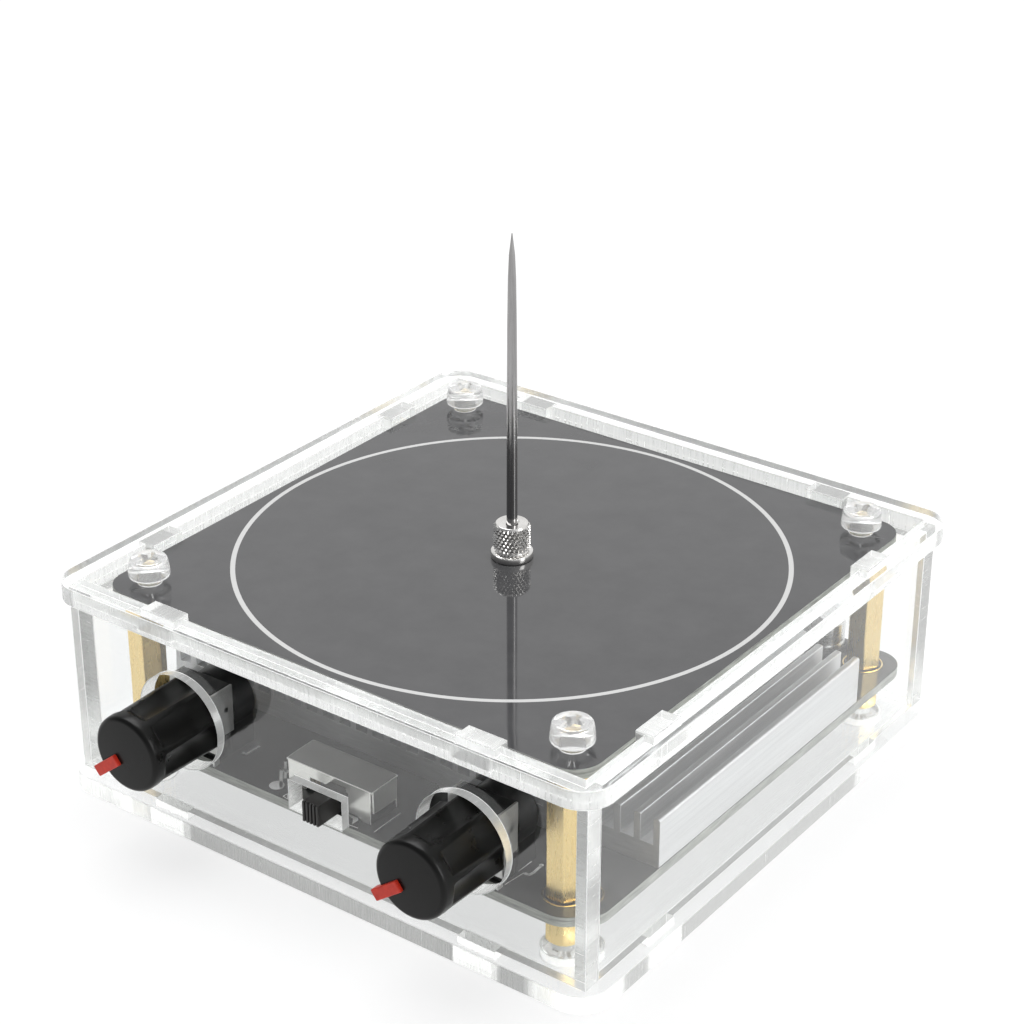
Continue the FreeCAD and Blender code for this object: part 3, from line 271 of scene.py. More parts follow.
acrylic = material("acrylic_face", (0.985, 0.992, 0.99), 0.0, IOR=1.49, Transmission_Weight=1.0)
let_light_through(acrylic)
fine, coarse = 2.2, 0.12
# The cut edges carry a painted glow: strong on the base plate, faint on the frame.
cut_plate = cut_acrylic("acrylic_cut_plate", fine, fine, coarse, 0.27)
cut_upright = cut_acrylic("acrylic_cut_frame", fine, fine, coarse, 0.03)
# Painted highlight: the broken edges are whiter, less clear and faintly glowing, so every edge of the sheets
# shows as a light line.
edge_painted_highlight = material("acrylic_edge_painted_highlight", (0.97, 0.975, 0.97), 0.3, IOR=1.49, Transmission_Weight=0.35,
                 Emission_Strength=0.04)
let_light_through(edge_painted_highlight)


def room(name):
    """Room that a CAD node takes: its lowest and its highest corner in millimetres."""
    return [Vector(corner) * 1000 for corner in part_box(name)]


def arc(x, y, radius, start, end, steps):
    """List points along an arc, angles in degrees."""
    angles = [math.radians(start + (end - start) * step / steps) for step in range(steps + 1)]
    return [(x + radius * math.cos(angle), y + radius * math.sin(angle)) for angle in angles]


def rounded_square(half, corner):
    """List the outline of a square with round corners."""
    inner = half - corner
    points = []
    for quarter, (x, y) in enumerate(((1, 1), (-1, 1), (-1, -1), (1, -1))):
        points += arc(x * inner, y * inner, corner, 90 * quarter, 90 * quarter + 90, 14)
    return points


def rectangle(x, y, half_x, half_y):
    """List the corners of a rectangle about a middle."""
    corners = ((-1, -1), (1, -1), (1, 1), (-1, 1))
    return [(x + right * half_x, y + up * half_y) for right, up in corners]


def hole(x, y, radius, steps=72):
    """List the points of a round hole."""
    return arc(x, y, radius, 0, 360, steps)[:-1]


def outline(bm, points, level):
    """Draw a closed outline at a level and return its edges."""
    corners = [bm.verts.new((x, y, level)) for x, y in points]
    return [bm.edges.new(pair) for pair in zip(corners, corners[1:] + corners[:1])]


def moved(bm, place):
    """Move a whole mesh by a matrix and return it."""
    bmesh.ops.transform(bm, matrix=place, verts=bm.verts)
    return bm


def cut_sheet(outlines, low, high, stand=Matrix(), rim=0.1, segments=2, rim_index=-1):
    """Cut a sheet between two levels to an outline and its holes; its cut faces take the second material and
    its broken edges the one at the rim's index."""
    bm = bmesh.new()
    edges = [edge for points in outlines for edge in outline(bm, points, low)]
    bmesh.ops.triangle_fill(bm, edges=edges, use_beauty=True, use_dissolve=False)
    grown = bmesh.ops.extrude_face_region(bm, geom=bm.faces[:])["geom"]
    lifted = [item for item in grown if isinstance(item, bmesh.types.BMVert)]
    bmesh.ops.translate(bm, vec=(0, 0, high - low), verts=lifted)
    bmesh.ops.recalc_face_normals(bm, faces=bm.faces)
    bm.normal_update()
    for face in bm.faces:
        face.material_index = int(abs(face.normal.z) < 0.5)
    rims = [edge for edge in bm.edges if len({face.material_index for face in edge.link_faces}) == 2]
    if rim:
        bmesh.ops.bevel(bm, geom=rims, offset=rim, segments=segments, profile=0.5, affect="EDGES",
                        material=rim_index, clamp_overlap=True)
    return moved(bm, stand)


def piece(name, bm, materials, node_name, body="case", sharp=30):
    """Finish a mesh made in millimetres as a named object on its body, standing for its CAD node."""
    bmesh.ops.scale(bm, vec=(0.001, 0.001, 0.001), verts=bm.verts)
    mesh = bpy.data.meshes.new(name)
    bm.to_mesh(mesh)
    bm.free()
    mesh.shade_smooth()
    mesh.set_sharp_from_angle(angle=math.radians(sharp))
    for item in materials:
        mesh.materials.append(item)
    made = bpy.data.objects.new(name, mesh)
    bpy.context.scene.collection.objects.link(made)
    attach(made, body)
    flat_faces = made.modifiers.new("flat_faces", "WEIGHTED_NORMAL")
    flat_faces.weight = 95
    flat_faces.keep_sharp = True
    if node_name:
        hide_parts(node_name)


plate_low, plate_high = room("base_plate")
frame_low, frame_high = room("top_frame")
plate_half = plate_high.x
plate_corner = 5.0
wall_outer = -room("front_panel")[0].y
wall_inner = -room("front_panel")[1].y
wall_middle = (wall_outer + wall_inner) / 2
tab_inset, window_step, foot_hole_radius = 18.6, 1.35, 3.4
tab_middle = wall_outer - tab_inset
slot_half_length, slot_half_width = 3.35, 1.6
window_half = wall_outer - window_step
notch_end = wall_middle + slot_half_width
standoff_flats = 5.0
standoff_corner = standoff_flats / 2 / math.cos(math.radians(30))
fastener = room("tall_standoffs")[1].x - standoff_corner
fasteners = [(x, y) for x in (-fastener, fastener) for y in (-fastener, fastener)]
slots = []
for along in (-tab_middle, tab_middle):
    for across in (-wall_middle, wall_middle):
        slots.append(rectangle(along, across, slot_half_length, slot_half_width))
        slots.append(rectangle(across, along, slot_half_width, slot_half_length))
foot_holes = [hole(x, y, foot_hole_radius) for x, y in fasteners]
piece("base_plate_sheet",
      cut_sheet([rounded_square(plate_half, plate_corner)] + slots + foot_holes, plate_low.z, plate_high.z,
                rim_index=2),
      [acrylic, cut_plate, edge_painted_highlight], "base_plate")
side = [(-window_half, -window_half)]
for middle in (-tab_middle, tab_middle):
    left, right = middle - slot_half_length, middle + slot_half_length
    side += [(left, -window_half), (left, -notch_end), (right, -notch_end), (right, -window_half)]
window = []
for quarter in range(4):
    turn = Matrix.Rotation(math.radians(90 * quarter), 2)
    window += [tuple(turn @ Vector(point)) for point in side]
piece("top_frame_sheet",
      cut_sheet([rounded_square(plate_half, plate_corner), window], frame_low.z, frame_high.z, rim_index=2),
      [acrylic, cut_upright, edge_painted_highlight], "top_frame")

# Walls: four more sheets of the same acrylic, held by tabs in the plates. The front one has round holes for
# the knobs and a window for the slider, the rear one has holes for the two plugs.
axis_height = 18.7
control_middle = 26.5
slider_hole = rectangle(0, 14.5, 5, 2.5)
knob_hole_radius, inlet_hole_radius, jack_hole_radius = 7.8, 5.5, 3.5
knob_holes = [hole(x, axis_height, knob_hole_radius) for x in (-control_middle, control_middle)]
inlet_x, inlet_z = 25.0, 18.1
jack_x, jack_z = 8.3, 14.1
plug_holes = [hole(inlet_x, inlet_z, inlet_hole_radius), hole(jack_x, jack_z, jack_hole_radius)]
facing_front = Matrix.Rotation(math.radians(90), 4, "X")
facing_rear = Matrix.Rotation(math.radians(180), 4, "Z") @ facing_front
# The walls' cut edges carry a painted glow of middling strength.
cut_front = cut_acrylic("acrylic_cut_front", fine, coarse, fine, 0.15)
cut_side = cut_acrylic("acrylic_cut_side", coarse, fine, fine, 0.15)
play = 0.02
wall_foot, wall_top = plate_high.z + play, frame_low.z - play
tab_foot, tab_top = plate_low.z + play, frame_high.z - play
tab_half, side_gap = 3.25, 0.1
for name, half, turn, finish, holes in (
    ("front_panel", wall_outer, 0, cut_front, knob_holes + [slider_hole]),
    ("right_panel", wall_inner - side_gap, 90, cut_side, []),
    ("rear_panel", wall_outer, 180, cut_front, plug_holes),
    ("left_panel", wall_inner - side_gap, 270, cut_side, []),
):
    points = [(-half, wall_foot)]
    for middle in (-tab_middle, tab_middle):
        left, right = middle - tab_half, middle + tab_half
        points += [(left, wall_foot), (left, tab_foot), (right, tab_foot), (right, wall_foot)]
    points += [(half, wall_foot), (half, wall_top)]
    for middle in (tab_middle, -tab_middle):
        left, right = middle - tab_half, middle + tab_half
        points += [(right, wall_top), (right, tab_top), (left, tab_top), (left, wall_top)]
    points.append((-half, wall_top))
    stand = Matrix.Rotation(math.radians(turn), 4, "Z") @ facing_front
    piece(name + "_sheet", cut_sheet([points] + holes, wall_inner, wall_outer, stand, rim_index=2),
          [acrylic, finish, edge_painted_highlight], name)

# Circuit boards: glass-fibre laminate under a dark glossy solder mask; the cut rim shows the grey fibre. The
# coil board carries one printed white ring and nothing else on top.
drift, given, result = effect(
    "surface_drift",
    {"Colour A": (1, 1, 1, 1), "Colour B": (1, 1, 1, 1), "Size": 0.004, "Gloss A": 0.3, "Gloss B": 0.4,
     "Grain Size": 0.0003, "Grain Height": 0.00001},
    {"Colour": "Color", "Roughness": "Float", "Normal": "Vector"},
)
spot = node(drift, "TexCoord")
patterns = []
for size, detail, rough in (("Size", 5, 0.6), ("Grain Size", 3, 0.7)):
    scale = node(drift, "Math", operation="DIVIDE")
    scale.inputs[0].default_value = 1
    clouds = node(drift, "TexNoise", Detail=detail, Roughness=rough)
    wire(drift, given.outputs[size], scale.inputs[1])
    wire(drift, scale.outputs["Value"], clouds.inputs["Scale"])
    wire(drift, spot.outputs["Object"], clouds.inputs["Vector"])
    patterns.append(clouds.outputs["Fac"])
vary(drift, patterns[0], given, result)
emboss(drift, patterns[1], given.outputs["Grain Height"], result)


def drifting(name, colour, gloss, metallic, tones, glosses, size, grain=None, **more):
    """Make a material whose tone, and gloss where two are given, drift over a size; a grain is given by its
    size and height, all in metres."""
    made = material(name, colour, gloss, metallic, **more)
    settings = {"Colour_A": (*tones[0], 1), "Colour_B": (*tones[1], 1), "Size": size}
    targets = ["Base Color"]
    if glosses:
        settings["Gloss_A"], settings["Gloss_B"] = glosses
        targets.append("Roughness")
    if grain:
        settings["Grain_Size"], settings["Grain_Height"] = grain
        targets.append("Normal")
    apply(made, drift, targets, **settings)
    return made


ring_mask, given, result = effect(
    "printed_ring", {"Outer": 0.04327, "Inner": 0.0425, "Softness": 0.00004}, {"Mask": "Float"})
spot = node(ring_mask, "TexCoord")
level = node(ring_mask, "VectorMath", operation="MULTIPLY")
level.inputs[1].default_value = (1, 1, 0)
reach = node(ring_mask, "VectorMath", operation="LENGTH")
wire(ring_mask, spot.outputs["Object"], level.inputs[0])
wire(ring_mask, level.outputs["Vector"], reach.inputs[0])
beyond = []
for rim in ("Inner", "Outer"):
    past = node(ring_mask, "Math", operation="SUBTRACT")
    soft = node(ring_mask, "Math", operation="DIVIDE", use_clamp=True)
    wire(ring_mask, reach.outputs["Value"], past.inputs[0])
    wire(ring_mask, given.outputs[rim], past.inputs[1])
    wire(ring_mask, past.outputs["Value"], soft.inputs[0])
    wire(ring_mask, given.outputs["Softness"], soft.inputs[1])
    beyond.append(soft.outputs["Value"])
between = node(ring_mask, "Math", operation="SUBTRACT", use_clamp=True)
wire(ring_mask, beyond[0], between.inputs[0])
wire(ring_mask, beyond[1], between.inputs[1])
wire(ring_mask, between.outputs["Value"], result.inputs["Mask"])

mask_top = material("solder_mask_with_ring", (0.055, 0.055, 0.057), 0.04, IOR=1.6)
skin = apply(mask_top, drift, ["Normal"], Colour_A=(0.048, 0.048, 0.050, 1),
             Colour_B=(0.060, 0.060, 0.062, 1), Size=0.006, Gloss_A=0.03, Gloss_B=0.06, Grain_Size=0.0008,
             Grain_Height=0.0000008)
ring = node(mask_top, "Group", node_tree=ring_mask)
shader = mask_top.node_tree.nodes["Principled BSDF"]
for kind, ink, output, target in (("RGBA", (0.48, 0.48, 0.475, 1), "Colour", "Base Color"),
                                  ("FLOAT", 0.32, "Roughness", "Roughness")):
    printed = node(mask_top, "Mix", data_type=kind, B=ink)
    wire(mask_top, ring.outputs["Mask"], printed.inputs["Factor"])
    wire(mask_top, skin.outputs[output], printed.inputs["A"])
    wire(mask_top, printed.outputs["Result"], shader.inputs[target])
mask_plain = drifting("solder_mask", (0.05, 0.05, 0.052), 0.1, 0.0,
                      ((0.046, 0.047, 0.047), (0.062, 0.063, 0.062)), (0.07, 0.13), 0.003,
                      (0.0006, 0.000002))
fibre = lined("laminate_edge", (0.4, 0.41, 0.38), 0.55, 0.0, (0.22, 0.22, 4),
              ((0.13, 0.135, 0.125), (0.47, 0.485, 0.45)), (0.45, 0.7), 0.00002)

coil_low, coil_high = room("coil_board")
deck_low, deck_high = room("driver_board")
board_outline = rounded_square(coil_high.x, 4.5)
thread_hole = 1.65
screw_holes = [hole(x, y, thread_hole, 32) for x, y in fasteners]
stud_hole = hole(0, 0, thread_hole, 32)
piece("coil_board_laminate",
      cut_sheet([board_outline, stud_hole] + screw_holes, coil_low.z, coil_high.z, rim=0.08),
      [mask_top, fibre], "coil_board")
pin_pitch, switch_middle = 2.5, -0.8
pin_rows = {
    "left_control_pins": (-control_middle, -41.85), "right_control_pins": (control_middle, -41.85),
    "mode_switch_pins": (switch_middle, -39.15), "power_inlet_contacts": (-inlet_x, 37.6),
    "audio_socket_pins": (-jack_x, 38.6),
}
pin_holes = [hole(x + shift, y, 0.55, 16) for x, y in pin_rows.values()
             for shift in (-pin_pitch, 0, pin_pitch)]
sink_screw_x, sink_screw_y = 36.0, 20.0
sink_screws = [(x, y) for x in (-sink_screw_x, sink_screw_x) for y in (-sink_screw_y, sink_screw_y)]
sink_hole_radius = 1.35
sink_holes = [hole(x, y, sink_hole_radius, 24) for x, y in sink_screws]
piece("driver_board_laminate",
      cut_sheet([board_outline] + screw_holes + sink_holes + pin_holes, deck_low.z, deck_high.z, rim=0.08),
      [mask_plain, fibre], "driver_board")


# Plated rings: bare copper under a thin coat of gold, flat on the driver board round every standoff. The
# ends of the brass pillars sit on them.
def at(points, height=0.0):
    """List the places over points of the board, for set_at."""
    return [Matrix.Translation((x, y, height)) for x, y in points]


def set_at(target, part, places=(Matrix(),)):
    """Add a finished part to a mesh at each of its places, or as it stands."""
    shell = bpy.data.meshes.new("part")
    part.to_mesh(shell)
    part.free()
    for place in places:
        copy = shell.copy()
        copy.transform(place)
        target.from_mesh(copy)
        bpy.data.meshes.remove(copy)
    bpy.data.meshes.remove(shell)


gold = drifting("gold_plating", (0.83, 0.62, 0.27), 0.2, 1.0, ((0.80, 0.60, 0.28), (0.90, 0.74, 0.42)),
                (0.12, 0.26), 0.0012, (0.0002, 0.000003))
rings = bmesh.new()
pad_top = room("driver_board_pads")[1].z
pad_radius = 3.25
ring = cut_sheet([hole(0, 0, pad_radius, 64), hole(0, 0, standoff_corner + 0.1, 48)], deck_high.z, pad_top,
                 rim=0.03, segments=1)
set_at(rings, ring, at(fasteners))
piece("driver_board_pads_rings", rings, [gold, gold], "driver_board_pads")

# Printed coils: flat copper spirals on the coil board's underside, etched from its copper foil and covered
# by the same dark solder mask.
coated = drifting("masked_copper", (0.06, 0.055, 0.052), 0.14, 0.0,
                  ((0.055, 0.050, 0.048), (0.078, 0.070, 0.066)), (0.1, 0.2), 0.004)
for name in ("primary_winding", "secondary_winding"):
    track = bmesh.new()
    track.from_mesh(bpy.data.objects[name].data)
    bmesh.ops.remove_doubles(track, verts=track.verts, dist=0.000001)
    bmesh.ops.scale(track, vec=(1000, 1000, 1000), verts=track.verts)
    piece(name + "_track", track, [coated], name)


# Standoffs: hexagonal brass pillars, their ends turned down on a lathe and threaded inside. Tall ones carry
# the coil board, short ones stand below the driver board.
def turned(profile, steps=48, closed=False):
    """Spin a half outline of radius and height pairs about the upright axis."""
    bm = bmesh.new()
    line = [bm.verts.new((radius, 0, height)) for radius, height in profile]
    edges = [bm.edges.new(pair) for pair in zip(line, line[1:])]
    if closed:
        edges.append(bm.edges.new((line[-1], line[0])))
    bmesh.ops.spin(bm, geom=line + edges, cent=(0, 0, 0), axis=(0, 0, 1), angle=math.tau, steps=steps,
                   use_merge=True)
    bmesh.ops.remove_doubles(bm, verts=bm.verts, dist=0.0001)
    bmesh.ops.recalc_face_normals(bm, faces=bm.faces)
    return bm


def draw_in(vert, radius):
    """Move a vertex to a new distance from the upright axis."""
    share = radius / vert.co.xy.length
    vert.co.x *= share
    vert.co.y *= share


brass = lined("turned_brass", (0.80, 0.60, 0.28), 0.22, 1.0, (1.3, 1.3, 0.25),
              ((0.78, 0.585, 0.255), (0.83, 0.65, 0.31)), (0.24, 0.32), 0.000001)
sixth = math.tau / 6
rounded_corner = standoff_flats / 2 / math.cos(sixth / 2 - math.tau / 216)
for name in ("tall_standoffs", "short_standoffs"):
    low, high = room(name)
    half = [(0.0, 0.0), (2.3, 0.0), (2.42, 0.06), (2.6, 0.18), (2.75, 0.34), (rounded_corner, 0.5)]
    profile = [(radius, low.z + height) for radius, height in half]
    profile += [(radius, high.z - height) for radius, height in half[::-1]]
    pillar = turned(profile, 216)
    for vert in pillar.verts:
        angle = math.atan2(vert.co.y, vert.co.x) % sixth - sixth / 2
        draw = standoff_flats / 2 / math.cos(angle)
        if vert.co.xy.length > draw:
            draw_in(vert, draw)
    pillars = bmesh.new()
    set_at(pillars, pillar, at(fasteners))
    piece(name + "_pillars", pillars, [brass], name, sharp=20)


# Plastic screws: moulded in slightly milky clear plastic, with a tall head, a collar and a deep cross
# recess. Four hold the coil board, four more stand head down in the base plate's holes.
def cross(length, width, corner):
    """List the outline of a cross with round inner corners."""
    points = []
    for quarter in range(4):
        turn = Matrix.Rotation(math.radians(90 * quarter), 2)
        arm = [(length, -width), (length, width)]
        arm += arc(width + corner, width + corner, corner, 270, 180, 5)
        points += [tuple(turn @ Vector(point)) for point in arm]
    return points


def edges_in(geometry):
    """Pick the edges of an operator's result that have a face on one side only."""
    return [item for item in geometry if isinstance(item, bmesh.types.BMEdge) and item.is_boundary]


def recessed(profile, steps, mouth, steps_down):
    """Turn a screw that is open at its top and close it round a cross recess that narrows step by step."""
    bm = turned(profile, steps)
    rim = edges_in(bm.edges)
    wall = outline(bm, mouth, profile[-1][1])
    bmesh.ops.triangle_fill(bm, edges=rim + wall, use_beauty=True, use_dissolve=False)
    for drop, share in steps_down:
        grown = bmesh.ops.extrude_edge_only(bm, edges=wall)["geom"]
        lower = [item for item in grown if isinstance(item, bmesh.types.BMVert)]
        bmesh.ops.translate(bm, vec=(0, 0, -drop), verts=lower)
        bmesh.ops.scale(bm, vec=(share, share, 1), verts=lower)
        wall = edges_in(grown)
    bmesh.ops.triangle_fill(bm, edges=wall, use_beauty=True, use_dissolve=False)
    bmesh.ops.recalc_face_normals(bm, faces=bm.faces)
    return bm


clear_plastic = drifting("clear_screw_plastic", (0.95, 0.955, 0.95), 0.05, 0.0,
                         ((0.86, 0.865, 0.86), (0.98, 0.985, 0.98)), (0.02, 0.08), 0.002, (0.0012, 0.00001),
                         IOR=1.5, Transmission_Weight=0.76)
let_light_through(clear_plastic)
upside_down = Matrix.Rotation(math.radians(180), 4, "X")
thread = 1.45
for name, seat, end, way in (
    ("top_screws", coil_high.z, room("top_screws")[0].z, Matrix()),
    ("foot_screws", room("short_standoffs")[0].z, room("foot_screws")[1].z, upside_down),
):
    tip = -abs(end - seat)
    profile = [(0, tip), (thread - 0.3, tip), (thread, tip + 0.3), (thread, 0.02), (1.94, 0.02), (1.94, 1.15),
               (2.95, 1.17), (3.12, 1.24), (3.18, 1.42), (3.15, 2.2), (3.06, 3.0), (2.97, 3.6), (2.89, 3.87),
               (2.75, 4.05), (2.55, 4.13), (2.35, 4.15)]
    screw = recessed(profile, 48, cross(1.65, 0.48, 0.35), ((0.55, 0.85), (0.55, 0.72), (0.35, 0.4)))
    screws = bmesh.new()
    set_at(screws, screw, [Matrix.Translation((x, y, seat)) @ Matrix.Rotation(x + 2 * y, 4, "Z") @ way
                           for x, y in fasteners])
    piece(name + "_moulded", screws, [clear_plastic], name, sharp=35)

# Terminal stud: a plated machine screw pushed up through the coil board, its head under the board. It joins
# the inner end of the coil to the thumb nut.
nickel = drifting("nickel_plating", (0.72, 0.71, 0.69), 0.14, 1.0, ((0.66, 0.65, 0.63), (0.78, 0.77, 0.755)),
                  (0.1, 0.2), 0.0015, (0.0003, 0.000002))
stud_low, stud_high = room("terminal_stud")
stud = turned([(0, stud_low.z), (2.1, stud_low.z), (2.6, stud_low.z + 0.15), (2.75, stud_low.z + 0.5),
               (2.75, coil_low.z - 0.1), (2.65, coil_low.z), (thread, coil_low.z),
               (thread, stud_high.z - 0.2), (thread - 0.2, stud_high.z), (0, stud_high.z)], 40)
piece("terminal_stud_screw", stud, [nickel], "terminal_stud")

# Thumb nut: turned brass, nickel plated, with a diamond knurl above a plain flange. It clamps the coil's
# terminal and carries the needle.
nut_low, nut_high = room("knurled_nut")
flange_edge, grip_low, grip_high = 3.3, nut_low.z + 1.7, nut_high.z - 0.45
knurl_foot, knurl_depth, needle_seat = 2.5, 0.38, 38.4
profile = [(1.5, nut_low.z), (3.05, nut_low.z), (3.25, nut_low.z + 0.1), (flange_edge, nut_low.z + 0.25),
           (flange_edge, nut_low.z + 0.95), (3.24, nut_low.z + 1.1), (3.05, nut_low.z + 1.18),
           (2.6, nut_low.z + 1.25), (2.5, nut_low.z + 1.35), (2.5, nut_low.z + 1.6)]
knurl_rows = 34
for row in range(knurl_rows + 1):
    profile.append((knurl_foot + 0.1, grip_low + (grip_high - grip_low) * row / knurl_rows))
profile += [(2.6, nut_high.z - 0.3), (2.5, nut_high.z - 0.04), (2.44, nut_high.z), (1.34, nut_high.z),
            (1.2, nut_high.z - 0.04), (0.91, nut_high.z - 0.2), (0.91, needle_seat), (1.5, needle_seat)]
nut = turned(profile, 240, closed=True)
for vert in nut.verts:
    if abs(vert.co.xy.length - knurl_foot - 0.1) < 0.001 and grip_low - 0.001 < vert.co.z < grip_high + 0.001:
        around = 24 * math.atan2(vert.co.y, vert.co.x) / math.tau
        rise = vert.co.z / 1.16
        ridges = [abs((around + way * rise) % 1 - 0.5) * 2 for way in (1, -1)]
        draw_in(vert, knurl_foot + knurl_depth * min(1, 1.35 * min(ridges)))
piece("knurled_nut_turned", nut, [nickel], "knurled_nut", sharp=28)

# Discharge needle: a ground steel rod that tapers to a point; it is pressed into the thumb nut.
steel = lined("ground_steel", (0.34, 0.33, 0.33), 0.12, 1.0, (1.4, 1.4, 0.1),
              ((0.26, 0.255, 0.255), (0.38, 0.375, 0.375)), (0.08, 0.16), 0.0000012)
needle_low, needle_high = room("discharge_needle")
needle_length = needle_high.z - nut_high.z
shank = needle_high.x
profile = [(0, needle_low.z), (shank - 0.15, needle_low.z), (shank, needle_low.z + 0.15), (shank, nut_high.z)]
bends = [(0.0, shank), (0.10, 0.84), (0.45, 0.80), (0.70, 0.73), (0.85, 0.63), (0.93, 0.47), (1.0, 0.08)]
for (low_share, low_radius), (high_share, high_radius) in zip(bends, bends[1:]):
    for step in range(1, 5):
        share = low_share + (high_share - low_share) * step / 4
        radius = low_radius + (high_radius - low_radius) * step / 4
        profile.append((radius, nut_high.z + needle_length * share))
profile.append((0, needle_high.z))
piece("discharge_needle_rod", turned(profile, 40), [steel], "discharge_needle", sharp=40)

# Heat sink: one aluminium extrusion with 28 fins, sawn off at both ends. Four screws from below hold it on
# the driver board.
aluminium = lined("extruded_aluminium", (0.74, 0.745, 0.75), 0.4, 1.0, (1.6, 0.03, 1.6),
                  ((0.72, 0.725, 0.73), (0.86, 0.865, 0.87)), (0.34, 0.52), 0.000006)
sawn = lined("sawn_aluminium", (0.6, 0.605, 0.61), 0.5, 1.0, (0.25, 1, 2.2),
             ((0.54, 0.545, 0.55), (0.68, 0.685, 0.69)), (0.45, 0.6), 0.00001)
sink_low, sink_high = room("heat_sink")
fin_count, fin_thickness, fin_edge = 28, 1.1, 0.2
channel_floor = sink_low.z + 3.6
fin_pitch = (sink_high.x - sink_low.x - fin_thickness) / (fin_count - 1)
profile = [(sink_low.x, sink_low.z + 0.15), (sink_low.x + 0.15, sink_low.z),
           (sink_high.x - 0.15, sink_low.z), (sink_high.x, sink_low.z + 0.15)]
for fin in range(fin_count - 1, -1, -1):
    left = sink_low.x + fin * fin_pitch
    right = left + fin_thickness
    outer = 0.4 if fin in (0, fin_count - 1) else fin_edge
    right_edge, left_edge = (outer, fin_edge) if fin else (fin_edge, outer)
    if fin < fin_count - 1:
        profile.append((right, channel_floor))
    profile += arc(right - right_edge, sink_high.z - right_edge, right_edge, 0, 90, 3)
    profile += arc(left + left_edge, sink_high.z - left_edge, left_edge, 90, 180, 3)
    if fin:
        profile.append((left, channel_floor))
piece("heat_sink_extrusion", cut_sheet([profile], sink_low.y, sink_high.y, facing_front, 0.06, 1),
      [sawn, aluminium], "heat_sink", sharp=32)
screw_low, screw_high = room("heat_sink_screws")
head = [(0, deck_low.z - screw_high.z), (1.25, deck_low.z - screw_high.z), (1.25, 0.0), (2.3, 0.0),
        (2.3, 0.35), (2.2, 0.75), (1.9, 1.08), (1.5, 1.26), (1.3, deck_low.z - screw_low.z)]
screws = bmesh.new()
set_at(screws, recessed(head, 36, cross(1.0, 0.22, 0.12), ((0.6, 0.6),)),
       [place @ upside_down for place in at(sink_screws, deck_low.z)])
piece("heat_sink_screws_steel", screws, [steel], "heat_sink_screws")


# Power transistors and driver chips: flat epoxy packages with tinned leads folded down to the board. The
# transistors lie under the sink.
def block(bm, low, high, edge=0.1, segments=2, index=0, edge_index=-1):
    """Add a box between two corners with its edges broken; the edges may take a material of their own."""
    middle = [(a + b) / 2 for a, b in zip(low, high)]
    spans = [abs(b - a) for a, b in zip(low, high)]
    made = bmesh.ops.create_cube(bm, size=1, matrix=Matrix.Translation(middle) @ Matrix.Diagonal((*spans, 1)))
    for face in {found for vert in made["verts"] for found in vert.link_faces}:
        face.material_index = index
    if edge:
        edges = {found for vert in made["verts"] for found in vert.link_edges}
        bmesh.ops.bevel(bm, geom=list(edges), offset=edge, segments=segments, profile=0.5, affect="EDGES",
                        material=edge_index, clamp_overlap=True)


epoxy = drifting("package_epoxy", (0.02, 0.02, 0.021), 0.5, 0.0,
                 ((0.016, 0.016, 0.017), (0.028, 0.028, 0.029)), (0.42, 0.6), 0.002, (0.00012, 0.00001))
tinned = drifting("tinned_pins", (0.7, 0.69, 0.66), 0.28, 1.0, ((0.60, 0.595, 0.57), (0.76, 0.75, 0.72)),
                  (0.2, 0.4), 0.0008, (0.0002, 0.000006))
deck = deck_high.z
package_half, lead_pitch, lead_half = 3.3, 2.3, 0.4
transistor = bmesh.new()
block(transistor, (-package_half, -2.2, 0.15), (package_half, 3.05, 2.3), 0.12)
for shift in (-lead_pitch, 0, lead_pitch):
    block(transistor, (shift - lead_half, -3.05, 0), (shift + lead_half, -2.1, 0.35), 0.05, 1, 1)
transistors = (-18, 18)
packages = bmesh.new()
set_at(packages, transistor, at([(x, 0) for x in transistors], deck))
piece("power_transistor_packages", packages, [epoxy, tinned], "power_transistors")
chip_half, chip_depth, chip_height, leg_pitch, leg_half = 2.45, 1.35, 1.5, 1.27, 0.2
chip_places = ((-35.2, 32.5), (35.2, 32.5))
chip = bmesh.new()
block(chip, (-chip_half, -chip_depth, 0.15), (chip_half, chip_depth, chip_height), 0.12)
for side in (-1, 1):
    for pin in range(4):
        middle = leg_pitch * (pin - 1.5)
        for start, end, foot, top in ((1.3, 1.65, 0.6, 0.8), (1.47, 1.65, 0.02, 0.78), (1.5, 2.0, 0.0, 0.2)):
            block(chip, (middle - leg_half, side * start, foot), (middle + leg_half, side * end, top), 0.03,
                  1, 1)
chips = bmesh.new()
set_at(chips, chip, at(chip_places, deck))
piece("driver_chip_packages", chips, [epoxy, tinned], "driver_chips")

# Thermal pads: soft grey silicone between the transistors and the sink. Each is as wide as its package, and
# the sink presses it flat.
silicone = drifting("thermal_rubber", (0.35, 0.42, 0.47), 0.75, 0.0,
                    ((0.30, 0.37, 0.42), (0.40, 0.47, 0.52)), None, 0.001, (0.0001, 0.00001))
pad_low, pad_high = room("thermal_pads")
pads = bmesh.new()
for middle in transistors:
    block(pads, (middle - package_half, pad_low.y, pad_low.z),
          (middle + package_half, pad_high.y, pad_high.z), 0.06, 1)
piece("thermal_pads_silicone", pads, [silicone], "thermal_pads")

# Soldered pins: tinned wire through the driver board with a cone of solder on its underside. Each control,
# the switch and both sockets stand on a row of three.
for name, (x, y) in pin_rows.items():
    low, high = room(name)
    pin = turned([(0, low.z), (0.25, low.z), (0.42, low.z + 0.08), (0.45, low.z + 0.3), (0.5, low.z + 0.55),
                  (0.7, low.z + 0.75), (1.0, low.z + 0.9), (1.05, deck_low.z - 0.02), (0.45, deck_low.z),
                  (0.45, high.z), (0, high.z)], 20)
    pins = bmesh.new()
    set_at(pins, pin, at([(x + shift, y) for shift in (-pin_pitch, 0, pin_pitch)]))
    piece(name + "_soldered", pins, [tinned], name, sharp=40)

